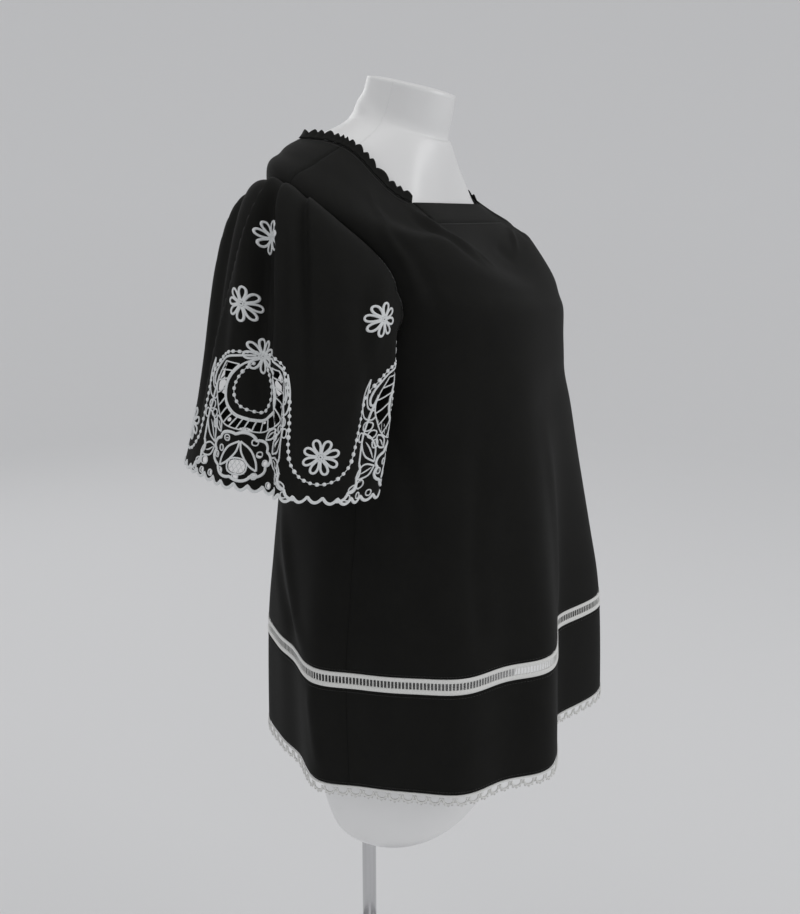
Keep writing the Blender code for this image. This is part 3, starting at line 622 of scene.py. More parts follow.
class SleevePattern:
    """The sleeve's flat pattern: arc lengths along the hem and up from it, in metres."""

    def __init__(self):
        self.turns = np.linspace(-180.0, 180.0, 721)
        self.along = run_along(sleeve(self.turns, 1.0))
        self.girth = self.along[-1]
        self.along -= np.interp(FLOWER_TURN, self.turns, self.along)
        self.places = np.linspace(1.0, 0.0, 81)
        self.columns = np.linspace(-180.0, 180.0, 181)
        grid = sleeve(self.columns[:, None], self.places[None, :])
        self.ups = np.array([run_along(row) for row in grid])

    def turn(self, along):
        low = self.along[0]
        return np.interp((along - low) % self.girth + low, self.along, self.turns)

    def along_of(self, turn):
        return np.interp(turn, self.turns, self.along)

    def cap(self, turn):
        """The sleeve's length from hem to armhole."""
        return np.interp(turn, self.columns, self.ups[:, -1])

    def place(self, turn, up):
        """The place between armhole and hem of a height above the hem."""
        where = (turned(turn) + 180.0) / (self.columns[1] - self.columns[0])
        low = np.clip(where.astype(int), 0, len(self.columns) - 2)
        part = where - low
        last = len(self.places) - 1
        index = np.arange(len(up))
        found = []
        for side in (low, low + 1):
            rows = self.ups[side]
            upper = np.argmax(rows >= np.minimum(up, rows[:, -1])[:, None], axis=1)
            upper = np.clip(upper, 1, last)
            start, end = rows[index, upper - 1], rows[index, upper]
            share = np.clip((up - start) / np.maximum(end - start, 1e-9), -1.0, 1.0)
            found.append(1.0 - (upper - 1 + share) / last)
        return found[0] * (1 - part) + found[1] * part

    def surface(self, side):
        """Points of one sleeve from its flat pattern; side is 1 for the left."""

        def points(along, up):
            shape = np.broadcast(along, up).shape
            flat_along = np.broadcast_to(along, shape).ravel()
            flat_up = np.broadcast_to(up, shape).ravel()
            turn = self.turn(flat_along)
            made = sleeve(turn, self.place(turn, flat_up))
            made[:, 0] *= side
            return made.reshape(*shape, 3)

        return points


# Meshes
def new_object(name, vertices, faces, material, smooth=True):
    mesh = bpy.data.meshes.new(name)
    mesh.from_pydata([tuple(point) for point in vertices], [], [tuple(face) for face in faces])
    mesh.materials.append(material)
    made = bpy.data.objects.new(name, mesh)
    bpy.context.scene.collection.objects.link(made)
    if smooth:
        mesh.shade_smooth()
    return made


def set_uv(made, flat):
    """Gives each corner the flat place of its point, in metres."""
    mesh = made.data
    layer = mesh.uv_layers.new(name="pattern")
    corners = np.empty(len(mesh.loops), np.int32)
    mesh.loops.foreach_get("vertex_index", corners)
    layer.data.foreach_set("uv", np.asarray(flat, float)[corners].ravel())


def inside(points, loops):
    """Which flat points lie within the outline and outside the holes."""
    x, y = points[:, 0], points[:, 1]
    found = np.zeros(len(points), bool)
    for loop in loops:
        for (ax, ay), (bx, by) in zip(loop, np.roll(loop, -1, axis=0)):
            if ay != by:
                crossed = (ay > y) != (by > y)
                found ^= crossed & (x < ax + (y - ay) * (bx - ax) / (by - ay))
    return found


def resampled(path, step, closed=False):
    """The path's points at even steps no longer than step."""
    path = np.asarray(path, float)
    if closed:
        path = np.concatenate([path, path[:1]])
    run = run_along(path)
    count = max(2, ceil(run[-1] / step))
    made = at_runs(path, run, np.linspace(0.0, run[-1], count + 1))
    return made[:-1] if closed else made


def curved(points, per_part=8):
    """A smooth path through a few points."""
    points = np.asarray(points, float)
    place = np.linspace(0.0, len(points) - 1, (len(points) - 1) * per_part + 1)
    return np.stack([spline(points[:, axis], place) for axis in (0, 1)], axis=1)


def triangulated(loops, step):
    """Flat points and triangles of the cloth between its outline and its holes."""
    edges, points = [], []
    for loop in loops:
        first, count = len(points), len(loop)
        points += [Vector(point) for point in loop]
        edges += [(first + i, first + (i + 1) % count) for i in range(count)]
    near = KDTree(len(points))
    for index, point in enumerate(points):
        near.insert((*point, 0.0), index)
    near.balance()
    low, high = np.min(loops[0], axis=0), np.max(loops[0], axis=0)
    columns = np.arange(low[0] + step / 2, high[0], step)
    rows = np.arange(low[1] + step / 2, high[1], step)
    grid = np.stack(np.meshgrid(columns, rows), axis=-1).reshape(-1, 2)
    grid = grid[inside(grid, loops)]
    keep_off = 0.55 * step
    points += [Vector(point) for point in grid if near.find((*point, 0.0))[2] > keep_off]
    whole_hull = 0
    made = delaunay_2d_cdt(points, edges, [], whole_hull, 1e-9)
    flat, faces = np.array([tuple(point) for point in made[0]]), np.array(made[2])
    return flat, faces[inside(flat[faces].mean(axis=1), loops)]


def cloth_shell(name, loops, step, surface, outside, thickness, material, roll=0.0):
    """A thin closed wall of cloth. Its edges may roll in by a little, as at a seam."""
    flat, faces = triangulated(loops, step)
    outer = surface(flat[:, 0], flat[:, 1])
    facing = normals(surface, flat[:, 0], flat[:, 1], outside, PATTERN_SPAN)
    a, b, c = (outer[faces[:, corner]] for corner in range(3))
    turned_in = (np.cross(b - a, c - a) * facing[faces[:, 0]]).sum(axis=1).sum() < 0
    if turned_in:
        faces = faces[:, ::-1]
    count = len(flat)
    sides = np.concatenate([faces[:, [0, 1]], faces[:, [1, 2]], faces[:, [2, 0]]])
    codes, back = sides[:, 0] * count + sides[:, 1], sides[:, 1] * count + sides[:, 0]
    rim = sides[~np.isin(codes, back)]
    if roll:
        outer[np.unique(rim)] -= facing[np.unique(rim)] * roll
    inner = outer - facing * thickness
    walls = [(b, a, a + count, b + count) for a, b in rim]
    skin = [*faces.tolist(), *(faces[:, ::-1] + count).tolist(), *walls]
    made = new_object(name, np.concatenate([outer, inner]), skin, material)
    set_uv(made, np.concatenate([flat, flat]))
    sharpen(made, rim, count)
    return made


def sharpen(made, rim, count):
    """Marks the rim's edges sharp, so that the flat of the cloth shades evenly."""
    mesh = made.data
    ends = np.empty(len(mesh.edges) * 2, np.int32)
    mesh.edges.foreach_get("vertices", ends)
    ends = np.sort(ends.reshape(-1, 2), axis=1).astype(np.int64)
    marked = np.sort(np.concatenate([rim, rim + count]), axis=1).astype(np.int64)
    most = 2 * count
    sharp = np.isin(ends[:, 0] * most + ends[:, 1], marked[:, 0] * most + marked[:, 1])
    layer = mesh.attributes.new("sharp_edge", "BOOLEAN", "EDGE")
    layer.data.foreach_set("value", sharp)


class Stroke(NamedTuple):
    """A raised cord: its flat path, width, height, and whether it closes or tapers."""

    path: np.ndarray
    width: float = CORD_WIDTH
    height: float = CORD_HEIGHT
    closed: bool = False
    taper: bool = False


# The cross-section of a cord, in shares of its width and its height
PROFILE = [(-0.5, -0.25), (-0.42, 0.45), (-0.18, 0.95), (0.18, 0.95), (0.42, 0.45), (0.5, -0.25)]


def onward(path, closed):
    """The way ahead at each point of a flat path."""
    if closed:
        ahead = np.roll(path, -1, axis=0) - np.roll(path, 1, axis=0)
    else:
        ahead = np.gradient(path, axis=0)
    return ahead / np.maximum(np.linalg.norm(ahead, axis=1, keepdims=True), 1e-9)


def cord_faces(first, count, closed):
    """The faces of one cord whose rows of points lie one after another from first."""
    rows = len(PROFILE)
    faces = []
    for row in range(rows):
        here, there = first + row * count, first + (row + 1) % rows * count
        for index in range(count if closed else count - 1):
            following = (index + 1) % count
            faces.append((here + index, here + following, there + following, there + index))
    if not closed:
        faces.append([first + row * count for row in range(rows)])
        faces.append([first + row * count + count - 1 for row in reversed(range(rows))])
    return faces


def raised(name, strokes, surface, outside, material, step=1.1 * MM, lift=0.0):
    """One mesh of many raised cords that lie on a surface, each closed all round."""
    flat, heights, uvs, faces = [], [], [], []
    first = 0
    for stroke in strokes:
        path = resampled(stroke.path, step, stroke.closed)
        count = len(path)
        ahead = onward(path, stroke.closed)
        aside = np.stack([-ahead[:, 1], ahead[:, 0]], axis=1)
        part = np.linspace(0.0, 1.0, count)
        size = 0.25 + 0.75 * np.sin(pi * part) ** 0.7 if stroke.taper else np.ones(count)
        for across, rise in PROFILE:
            flat.append(path + aside * (across * stroke.width * size)[:, None])
            heights.append(rise * stroke.height * size + lift)
            across_uv = np.full(count, across * stroke.width)
            uvs.append(np.stack([part * count * step, across_uv], axis=1))
        faces += cord_faces(first, count, stroke.closed)
        first += count * len(PROFILE)
    flat, heights, uvs = (np.concatenate(rows) for rows in (flat, heights, uvs))
    facing = normals(surface, flat[:, 0], flat[:, 1], outside, PATTERN_SPAN)
    points = surface(flat[:, 0], flat[:, 1]) + facing * heights[:, None]
    made = new_object(name, points, faces, material)
    set_uv(made, uvs)
    face_outwards(made)
    return made


def face_outwards(made):
    work = bmesh.new()
    work.from_mesh(made.data)
    bmesh.ops.recalc_face_normals(work, faces=work.faces[:])
    work.to_mesh(made.data)
    work.free()


def quads(rows, columns):
    """The faces between closed rings of points."""
    faces = []
    for row in range(rows - 1):
        for index in range(columns):
            following = (index + 1) % columns
            a, b = row * columns + index, row * columns + following
            faces.append((a, a + columns, b + columns, b))
    return faces


def grid_object(name, points, material, uvs=None):
    """A closed skin over rings of points, with its first and last rings capped."""
    rows, columns = points.shape[:2]
    faces = quads(rows, columns)
    faces.append(list(range(columns)))
    faces.append([(rows - 1) * columns + index for index in reversed(range(columns))])
    made = new_object(name, points.reshape(-1, 3), faces, material)
    if uvs is not None:
        set_uv(made, uvs.reshape(-1, 2))
    face_outwards(made)
    return made


def round_rows(profile, sides):
    """Rings about the upright axis, from pairs of radius and height."""
    across, ahead = np.cos(circle(sides)), np.sin(circle(sides))
    return np.array([
        np.stack([radius * across, radius * ahead, np.full(sides, height)], axis=-1)
        for radius, height in profile
    ])


# Repeats along a path, by geometry nodes
def add_sockets(tree, rows):
    """Gives a node group its inputs and outputs, and returns those of its two end nodes."""
    for title, direction, kind, default in rows:
        socket = tree.interface.new_socket(title, in_out=direction, socket_type=f"NodeSocket{kind}")
        if default is not None:
            socket.default_value = default
    return tree.nodes.new("NodeGroupInput").outputs, tree.nodes.new("NodeGroupOutput").inputs


REPEAT_SOCKETS = [
    ("Points", "INPUT", "Geometry", None),
    ("Motif", "INPUT", "Object", None),
    ("Finish", "INPUT", "Material", None),
    ("Size", "INPUT", "Float", 1.0),
    ("Variation", "INPUT", "Float", 0.0),
    ("Seed", "INPUT", "Int", 7),
    ("Geometry", "OUTPUT", "Geometry", None),
]
REPEAT_NODES = {
    "dots": ("GeometryNodeMeshToPoints", {}),
    "motif": ("GeometryNodeObjectInfo", {}),
    "facing": ("GeometryNodeInputNamedAttribute", {"data_type": "FLOAT_VECTOR"}),
    "ahead": ("GeometryNodeInputNamedAttribute", {"data_type": "FLOAT_VECTOR"}),
    "stand": ("FunctionNodeAlignRotationToVector", {"axis": "Z"}),
    "swing": ("FunctionNodeAlignRotationToVector", {"axis": "X", "pivot_axis": "Z"}),
    "least": ("ShaderNodeMath", {"operation": "SUBTRACT"}),
    "most": ("ShaderNodeMath", {"operation": "ADD"}),
    "vary": ("FunctionNodeRandomValue", {}),
    "size": ("ShaderNodeMath", {"operation": "MULTIPLY"}),
    "place": ("GeometryNodeInstanceOnPoints", {}),
    "real": ("GeometryNodeRealizeInstances", {}),
    "paint": ("GeometryNodeSetMaterial", {}),
}
REPEAT_LINKS = [
    ("group", "Points", "dots", "Mesh"),
    ("group", "Motif", "motif", "Object"),
    ("facing", "Attribute", "stand", "Vector"),
    ("stand", "Rotation", "swing", "Rotation"),
    ("ahead", "Attribute", "swing", "Vector"),
    ("group", "Variation", "least", 1),
    ("group", "Variation", "most", 1),
    ("least", "Value", "vary", "Min"),
    ("most", "Value", "vary", "Max"),
    ("group", "Seed", "vary", "Seed"),
    ("vary", 1, "size", 0),
    ("group", "Size", "size", 1),
    ("dots", "Points", "place", "Points"),
    ("motif", "Geometry", "place", "Instance"),
    ("swing", "Rotation", "place", "Rotation"),
    ("size", "Value", "place", "Scale"),
    ("place", "Instances", "real", "Geometry"),
    ("real", "Geometry", "paint", "Geometry"),
    ("group", "Finish", "paint", "Material"),
    ("paint", "Geometry", "group", "Geometry"),
]


def repeat_tree():
    """Puts a motif on each point, facing out and ahead as the point's attributes say."""
    name = "repeat_on_points"
    if name in bpy.data.node_groups:
        return bpy.data.node_groups[name]
    tree = bpy.data.node_groups.new(name, "GeometryNodeTree")
    outputs, inputs = {}, {}
    outputs["group"], inputs["group"] = add_sockets(tree, REPEAT_SOCKETS)
    for title, (kind, settings) in REPEAT_NODES.items():
        node = tree.nodes.new(kind)
        for setting, value in settings.items():
            setattr(node, setting, value)
        outputs[title], inputs[title] = node.outputs, node.inputs
    for title in ("facing", "ahead"):
        inputs[title]["Name"].default_value = title
    for title in ("least", "most"):
        inputs[title][0].default_value = 1.0
    for start, outlet, end, inlet in REPEAT_LINKS:
        tree.links.new(outputs[start][outlet], inputs[end][inlet])
    return tree


def repeat_on(name, placed, motif, material, variation=0.0):
    """A plain mesh of a motif repeated at points. The motif is removed afterwards."""
    points, facing, ahead = placed
    carrier = new_object(name, points, [], material, smooth=False)
    for title, vectors in (("facing", facing), ("ahead", ahead)):
        layer = carrier.data.attributes.new(title, "FLOAT_VECTOR", "POINT")
        layer.data.foreach_set("vector", np.asarray(vectors, float).ravel())
    modifier = carrier.modifiers.new("repeat", "NODES")
    modifier.node_group = repeat_tree()
    values = {"Motif": motif, "Finish": material, "Size": 1.0, "Variation": variation, "Seed": 7}
    for socket in modifier.node_group.interface.items_tree:
        if socket.in_out == "INPUT" and socket.name in values:
            modifier[socket.identifier] = values[socket.name]
    bpy.context.view_layer.update()
    evaluated = carrier.evaluated_get(bpy.context.evaluated_depsgraph_get())
    mesh = bpy.data.meshes.new_from_object(evaluated)
    carrier.modifiers.remove(modifier)
    carrier.data = mesh
    mesh.name = name
    mesh.shade_smooth()
    bpy.data.objects.remove(motif, do_unlink=True)
    return carrier


def points_on(surface, outside, path, lift=0.0):
    """Points on a surface with their outward and onward directions."""
    x, y = path[:, 0], path[:, 1]
    facing = normals(surface, x, y, outside, PATTERN_SPAN)
    points = surface(x, y)
    step = unit(np.gradient(path, axis=0)) * MM
    ahead = surface(x + step[:, 0], y + step[:, 1]) - points
    return points + facing * lift, facing, unit(ahead)


def plain_surface(x, y):
    return np.stack([x, y, np.zeros_like(x)], axis=-1)


def bead_motif(material, length, width, height):
    """A satin-stitched dot: a low dome, longer than wide, over a flat foot."""
    levels = np.array([0.0, 0.35, 0.7, 0.92])
    rows = round_rows(zip(np.sqrt(1 - levels**2) / 2, 1.25 * levels - 0.2), 12)
    return grid_object("bead", rows * (length, width, height), material)


# Materials
def new_material(name, settings):
    """A material and its shader, with the shader's inputs set by name."""
    made = bpy.data.materials.new(name)
    made.use_nodes = True
    shader = made.node_tree.nodes["Principled BSDF"]
    for title, value in settings.items():
        shader.inputs[title].default_value = value
    return made, shader


def math_node(tree, operation, *values):
    node = tree.nodes.new("ShaderNodeMath")
    node.operation = operation
    for socket, value in zip(node.inputs, values):
        if isinstance(value, (int, float)):
            socket.default_value = value
        else:
            tree.links.new(value, socket)
    return node.outputs["Value"]


def scaled(tree, value, factor, offset):
    """A value times a factor, plus an offset."""
    return math_node(tree, "ADD", math_node(tree, "MULTIPLY", value, factor), offset)


def sine(tree, value, rate):
    return math_node(tree, "SINE", math_node(tree, "MULTIPLY", value, rate))


def noise(tree, vector, scale, detail=2.0, roughness=0.5):
    node = tree.nodes.new("ShaderNodeTexNoise")
    for title, value in (("Scale", scale), ("Detail", detail), ("Roughness", roughness)):
        node.inputs[title].default_value = value
    tree.links.new(vector, node.inputs["Vector"])
    return node.outputs["Fac"]


def apart(tree, vector):
    node = tree.nodes.new("ShaderNodeSeparateXYZ")
    tree.links.new(vector, node.inputs["Vector"])
    return node.outputs


def pattern_place(tree):
    """The flat place on the cloth or along the cord, in metres."""
    node = tree.nodes.new("ShaderNodeUVMap")
    node.uv_map = "pattern"
    return node.outputs["UV"]


def object_place(tree):
    return tree.nodes.new("ShaderNodeTexCoord").outputs["Object"]


WEAVE_SOCKETS = [
    ("Vector", "INPUT", "Vector", None),
    ("Thread", "INPUT", "Float", 0.0006),
    ("Slub", "INPUT", "Float", 0.35),
    ("Height", "OUTPUT", "Float", None),
    ("Shade", "OUTPUT", "Float", None),
]


def weave_group():
    """Plain weave: threads over and under, with uneven thick and thin ones."""
    name = "plain_weave"
    if name in bpy.data.node_groups:
        return bpy.data.node_groups[name]
    tree = bpy.data.node_groups.new(name, "ShaderNodeTree")
    inputs, outputs = add_sockets(tree, WEAVE_SOCKETS)
    place = apart(tree, inputs["Vector"])
    rate = math_node(tree, "DIVIDE", pi, inputs["Thread"])
    warp, weft = sine(tree, place["X"], rate), sine(tree, place["Y"], rate)
    slub = noise(tree, inputs["Vector"], 260.0, 3.0)
    uneven = math_node(tree, "MULTIPLY", slub, inputs["Slub"])
    height = scaled(tree, math_node(tree, "MULTIPLY", warp, weft), 0.5, uneven)
    shade = scaled(tree, noise(tree, inputs["Vector"], 34.0, 5.0, 0.65), 0.5, 0.75)
    fleck = scaled(tree, slub, 0.24, 0.88)
    tree.links.new(height, outputs["Height"])
    tree.links.new(math_node(tree, "MULTIPLY", shade, fleck), outputs["Shade"])
    return tree


def shade_colour(tree, shader, colour, shade):
    """The base colour made lighter and darker by a shade that changes over the surface."""
    scale = tree.nodes.new("ShaderNodeVectorMath")
    scale.operation = "SCALE"
    scale.inputs[0].default_value = colour
    tree.links.new(shade, scale.inputs["Scale"])
    tree.links.new(scale.outputs["Vector"], shader.inputs["Base Color"])


def add_bump(tree, shader, height, strength, distance):
    bump = tree.nodes.new("ShaderNodeBump")
    bump.inputs["Strength"].default_value = strength
    bump.inputs["Distance"].default_value = distance
    tree.links.new(height, bump.inputs["Height"])
    tree.links.new(bump.outputs["Normal"], shader.inputs["Normal"])


def cotton(name, colour):
    """Matt black plain-woven cotton."""
    settings = {"Roughness": 0.78, "Sheen Weight": 0.015, "Sheen Roughness": 0.45}
    material, shader = new_material(name, {**settings, "Specular IOR Level": 0.13})
    tree = material.node_tree
    weave = tree.nodes.new("ShaderNodeGroup")
    weave.node_tree = weave_group()
    tree.links.new(pattern_place(tree), weave.inputs["Vector"])
    shade_colour(tree, shader, colour, weave.outputs["Shade"])
    add_bump(tree, shader, weave.outputs["Height"], 0.35, 0.0002)
    return material


def thread(name, colour, pitch, roughness=0.55):
    """Glossy embroidery or lace thread, with fine lines across the cord, its colour a little lighter on their
    ridges and darker in their grooves as painted shade.
    """
    settings = {"Roughness": roughness, "Sheen Weight": 0.15, "Sheen Roughness": 0.4}
    material, shader = new_material(name, settings)
    tree = material.node_tree
    lines = sine(tree, apart(tree, pattern_place(tree))["X"], 2 * pi / pitch)
    fuzz = noise(tree, object_place(tree), 900.0, 3.0)
    # Painted shade: the colour follows the twist lines, darker in the grooves and lighter on the ridges.
    shade_colour(tree, shader, colour, scaled(tree, lines, 0.05, scaled(tree, fuzz, 0.22, 0.86)))
    add_bump(tree, shader, scaled(tree, lines, 0.35, fuzz), 0.5, 0.0002)
    return material


def moulded(name, colour):
    """Semi-gloss moulded plastic with a faint orange peel and handling marks."""
    settings = {"Roughness": 0.34, "Coat Weight": 0.15, "Coat Roughness": 0.25}
    material, shader = new_material(name, settings)
    tree = material.node_tree
    where = object_place(tree)
    peel, marks = noise(tree, where, 420.0), noise(tree, where, 14.0, 6.0)
    shade_colour(tree, shader, colour, scaled(tree, marks, 0.06, 0.97))
    tree.links.new(scaled(tree, marks, 0.16, 0.27), shader.inputs["Roughness"])
    add_bump(tree, shader, peel, 0.06, 0.0004)
    return material


def chrome(name, colour):
    """Chromed steel, lightly streaked along its length."""
    material, shader = new_material(name, {"Metallic": 1.0})
    tree = material.node_tree
    stretch = tree.nodes.new("ShaderNodeMapping")
    stretch.inputs["Scale"].default_value = (260.0, 260.0, 6.0)
    tree.links.new(object_place(tree), stretch.inputs["Vector"])
    streaks = noise(tree, stretch.outputs["Vector"], 1.0, 4.0)
    tree.links.new(scaled(tree, streaks, 0.14, 0.09), shader.inputs["Roughness"])
    shade_colour(tree, shader, colour, scaled(tree, streaks, 0.3, 0.82))
    return material


def finish(kind):
    """The material of a kind, made once from the user's settings."""
    if kind in bpy.data.materials:
        return bpy.data.materials[kind]
    settings = bpy.context.scene.blouse
    makers = {
        "black_cotton": lambda: cotton(kind, settings.cloth_colour),
        "black_thread": lambda: thread(kind, [1.5 * c for c in settings.cloth_colour], 0.0008),
        "white_thread": lambda: thread(kind, settings.thread_colour, 0.0006),
        "white_tape": lambda: thread(kind, settings.tape_colour, 0.0012, 0.7),
        "moulded_plastic": lambda: moulded(kind, settings.form_colour),
        "chromed_steel": lambda: chrome(kind, settings.stand_colour),
    }
    return makers[kind]()


def finished(piece, slot, *nodes):
    """Rides the piece on the body and lets it stand for the nodes, which it hides. The slot is not used."""
    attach(piece, BODY)
    if nodes:
        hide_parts(*nodes)
    return piece


# The body's panels
def seam_angle(ring):
    return spline(column("seam"), ring)


def side_line(side, towards, top, bottom):
    """A half panel's edge: down the shoulder seam, round the armhole, down the side."""
    turns = np.linspace(0.0, 180.0, 61)
    angle, ring = armhole(-towards * turns)
    above, below = np.linspace(top, ring[0], 40)[:-1], np.linspace(ring[-1], bottom, 70)[1:]
    rings = np.concatenate([above, ring, below])
    angles = np.concatenate([seam_angle(above), angle, seam_angle(below)])
    return np.stack([side * (angles + towards * SEAM_GAP), rings], axis=1)


def upright(x, heights):
    return np.stack([np.full(len(heights), x), heights], axis=1)


def row_of(ring, low, high):
    """Points along a ring between two angles."""
    angles = np.linspace(low, high, max(2, ceil(abs(high - low) / 1.5)))
    return np.stack([angles, np.full(len(angles), ring)], axis=1)


def on_pattern(loop):
    return np.asarray(loop) * (DEGREE_LENGTH, RING_LENGTH)


def panel(name, loop, thickness, roll=0.0011):
    """A panel of the body from its outline in degrees and rings."""
    cloth = finish("black_cotton")
    return cloth_shell(name, [on_pattern(loop)], BODY_STEP, body_flat, -1.0, thickness, cloth, roll)


def front_outline():
    top, bottom = RING_GAP, TRIM_TOP - RING_GAP
    left, right = side_line(1, -1, top, bottom), side_line(-1, -1, top, bottom)
    depth = NECK_BAND_DEPTH + RING_GAP
    rings = np.linspace(top, depth, 10)
    end = np.stack([NECK_CORNER - BAND_TAPER * rings + SEAM_GAP, rings], axis=1)
    lower = row_of(depth, -end[-1, 0], end[-1, 0])[1:-1]
    mirrored = end * (-1, 1)
    strap = row_of(top, end[0, 0], left[0, 0])[1:-1]
    neck = [(strap * (-1, 1))[::-1], mirrored, lower, end[::-1], strap]
    return np.concatenate([*neck, left, row_of(bottom, left[-1, 0], right[-1, 0])[1:-1], right[::-1]])


def back_outline():
    top, bottom = RING_GAP, TRIM_TOP - RING_GAP
    left, right = side_line(1, 1, top, bottom), side_line(-1, 1, top, bottom)
    right = right + (360.0, 0.0)
    neck = row_of(top, left[0, 0], right[0, 0])[1:-1]
    hem = row_of(bottom, right[-1, 0], left[-1, 0])[1:-1]
    return np.concatenate([neck, right, hem, left[::-1]])


def strip_outline(low, high, top, bottom):
    down = np.linspace(top, bottom, max(3, ceil((bottom - top) * 20)))[1:-1]
    right, left = upright(high, down), upright(low, down[::-1])
    return np.concatenate([row_of(top, low, high), right, row_of(bottom, high, low), left])


def neck_band_outline():
    rings = np.linspace(RING_GAP, NECK_BAND_DEPTH - RING_GAP, 10)
    end = np.stack([NECK_CORNER - BAND_TAPER * rings - SEAM_GAP, rings], axis=1)
    top = row_of(rings[0], -end[0, 0], end[0, 0])[1:-1]
    bottom = row_of(rings[-1], end[-1, 0], -end[-1, 0])[1:-1]
    return np.concatenate([top, end, bottom, (end * (-1, 1))[::-1]])


# Rows of stitches by ring and end angles, and the runs of the side seams' allowances
STITCH_PITCH = 0.0032
STITCH_WIDTH = 0.0006
STITCH_LIFT = 0.0001
NECK_REACH = (NECK_CORNER + 3, 360 - NECK_CORNER - 3)
ALL_ROUND = (-179.9, 179.9)
STITCH_ROWS = [
    ("neck_stitch_upper", 0.10, *NECK_REACH),
    ("neck_stitch_lower", 0.22, *NECK_REACH),
    ("trim_stitch_upper", TRIM_TOP - 0.03, *ALL_ROUND),
    ("trim_stitch_lower", TRIM_BOTTOM + 0.035, *ALL_ROUND),
    ("hem_stitch", HEM - 0.05, *ALL_ROUND),
    ("band_stitch", NECK_BAND_DEPTH + 0.06, -NECK_CORNER + 12, NECK_CORNER - 12),
]
SEAM_RUNS = [(0.02, 1.98), (4.02, TRIM_TOP - 0.01), (TRIM_BOTTOM + 0.01, HEM)]
ALLOWANCE_WIDTH = 0.0060
ALLOWANCE_HEIGHT = 0.0006
ALLOWANCE_LIFT = -0.0024


def stitch_row(name, ring, low, high):
    """A row of small stitches along a ring between two angles."""
    path = resampled(on_pattern(row_of(ring, low, high)), STITCH_PITCH)
    black = finish("black_thread")
    motif = bead_motif(black, STITCH_PITCH * 0.78, STITCH_WIDTH, STITCH_WIDTH * 0.6)
    return repeat_on(name, points_on(body_flat, -1.0, path, STITCH_LIFT), motif, black)


def seam_allowances():
    """The folded edges that stand in relief along the shoulder and side seams."""
    strokes = []
    for top, bottom in SEAM_RUNS:
        rings = np.linspace(top, bottom, ceil((bottom - top) * 16))
        for side in (1, -1):
            path = np.stack([side * seam_angle(rings), rings], axis=1)
            strokes.append(Stroke(on_pattern(path), ALLOWANCE_WIDTH, ALLOWANCE_HEIGHT))
    black = finish("black_cotton")
    return raised("seam_allowances", strokes, body_flat, -1.0, black, 4 * MM, ALLOWANCE_LIFT)


class BLOUSE_OT_panels(bpy.types.Operator):
    """Make the front, back, neck band and borders"""

    bl_idname = "blouse.panels"
    bl_label = "Body panels"

    def execute(self, context):
        thickness = context.scene.blouse.cloth_thickness
        front = panel("blouse_front", front_outline(), thickness)
        back = panel("blouse_back", back_outline(), thickness)
        band = panel("neck_band", neck_band_outline(), thickness)
        finished(front, "cloth", "body_front")
        finished(back, "cloth", "body_back")
        finished(band, "cloth", "front_neck_band")
        stitches = [finished(stitch_row(*row), "cloth") for row in STITCH_ROWS]
        finished(seam_allowances(), "cloth")
        for half, low in (("front", -90.0), ("back", 90.0)):
            low, high = low + SEAM_GAP, low + 180.0 - SEAM_GAP
            loop = strip_outline(low, high, TRIM_BOTTOM + 2 * RING_GAP, HEM)
            border = finished(panel(f"border_of_{half}", loop, thickness), "cloth", f"border_{half}")
        return {"FINISHED"}


# The ladder insertion and the lace
TRIM_SPAN = (0.002, 0.002)
TAPE_INSET = 0.11
RUNG_LENGTH = 0.0125
RUNG_RADIUS = 0.0006
LACE_DEPTH = 0.0085
HEADER_RING = HEM + 0.010
# The trims by width and height
LADDER_TAPE = (0.0037, 0.0010)
LACE_HEADER = (0.0030, 0.0009)
LACE_ARCH = (0.0022, 0.0010)
PICOT = (0.0008, 0.0008)
LACE_DROP = 0.0030
# Places of the small loops along a lace scallop
PICOTS = (0.14, 0.32, 0.5, 0.68, 0.86)


def along_ring(ring, pitch):
    """Even places all round a ring, with their outward and onward directions."""
    angles = np.linspace(-180.0, 180.0, 2881)
    run = run_along(body_flat(angles * DEGREE_LENGTH, np.full(len(angles), ring * RING_LENGTH)))
    count = round(run[-1] / pitch)
    x = np.interp(np.arange(count) / count * run[-1], run, angles) * DEGREE_LENGTH
    y = np.full(count, ring * RING_LENGTH)
    facing = normals(body_flat, x, y, -1.0, TRIM_SPAN)
    facing[:, 2] = 0.0
    ahead = body_flat(x + MM, y) - body_flat(x - MM, y)
    return body_flat(x, y), unit(facing), unit(ahead)


def tape(name, ring, width, height):
    """A white tape all round the blouse along a ring."""
    angles = np.linspace(-180.0, 180.0, 721)[:-1]
    path = np.stack([angles, np.full(len(angles), ring)], axis=1)
    stroke = Stroke(on_pattern(path), width, height)
    return raised(name, [stroke], body_flat, -1.0, finish("white_tape"), 2.0 * MM)


def rung_motif(material, length, radius):
    """An upright wrapped bar between the two tapes, thicker where it meets them."""
    rows = []
    for level in np.linspace(-0.5, 0.5, 5):
        size = radius * (1.0 + 0.6 * abs(2 * level) ** 3)
        across, out = size * np.cos(circle(8)), 0.6 * size * np.sin(circle(8))
        rows.append(np.stack([across, np.full(8, level * length), out], axis=-1))
    return grid_object("rung", np.array(rows), material)


def loop_motif(material, pitch, depth):
    """A lace scallop: a flat arch round one opening, with small loops along its edge."""
    turn = np.linspace(0.0, pi, 15)
    half = pitch / 2
    arch = np.stack([-half * 0.80 * np.cos(turn), -depth * 0.80 * np.sin(turn) ** 0.7], axis=1)
    edge = np.stack([-half * 0.94 * np.cos(turn), -depth * np.sin(turn) ** 0.8], axis=1)
    strokes = [Stroke(arch, *LACE_ARCH)]
    for place in PICOTS:
        x, y = along_curve(edge, place, place, 1)[0]
        strokes.append(Stroke(oval(x, y, MM, MM, 0.0, 8), *PICOT, closed=True))
    return raised("loop", strokes, plain_surface, 1.0, material, 1.2 * MM)


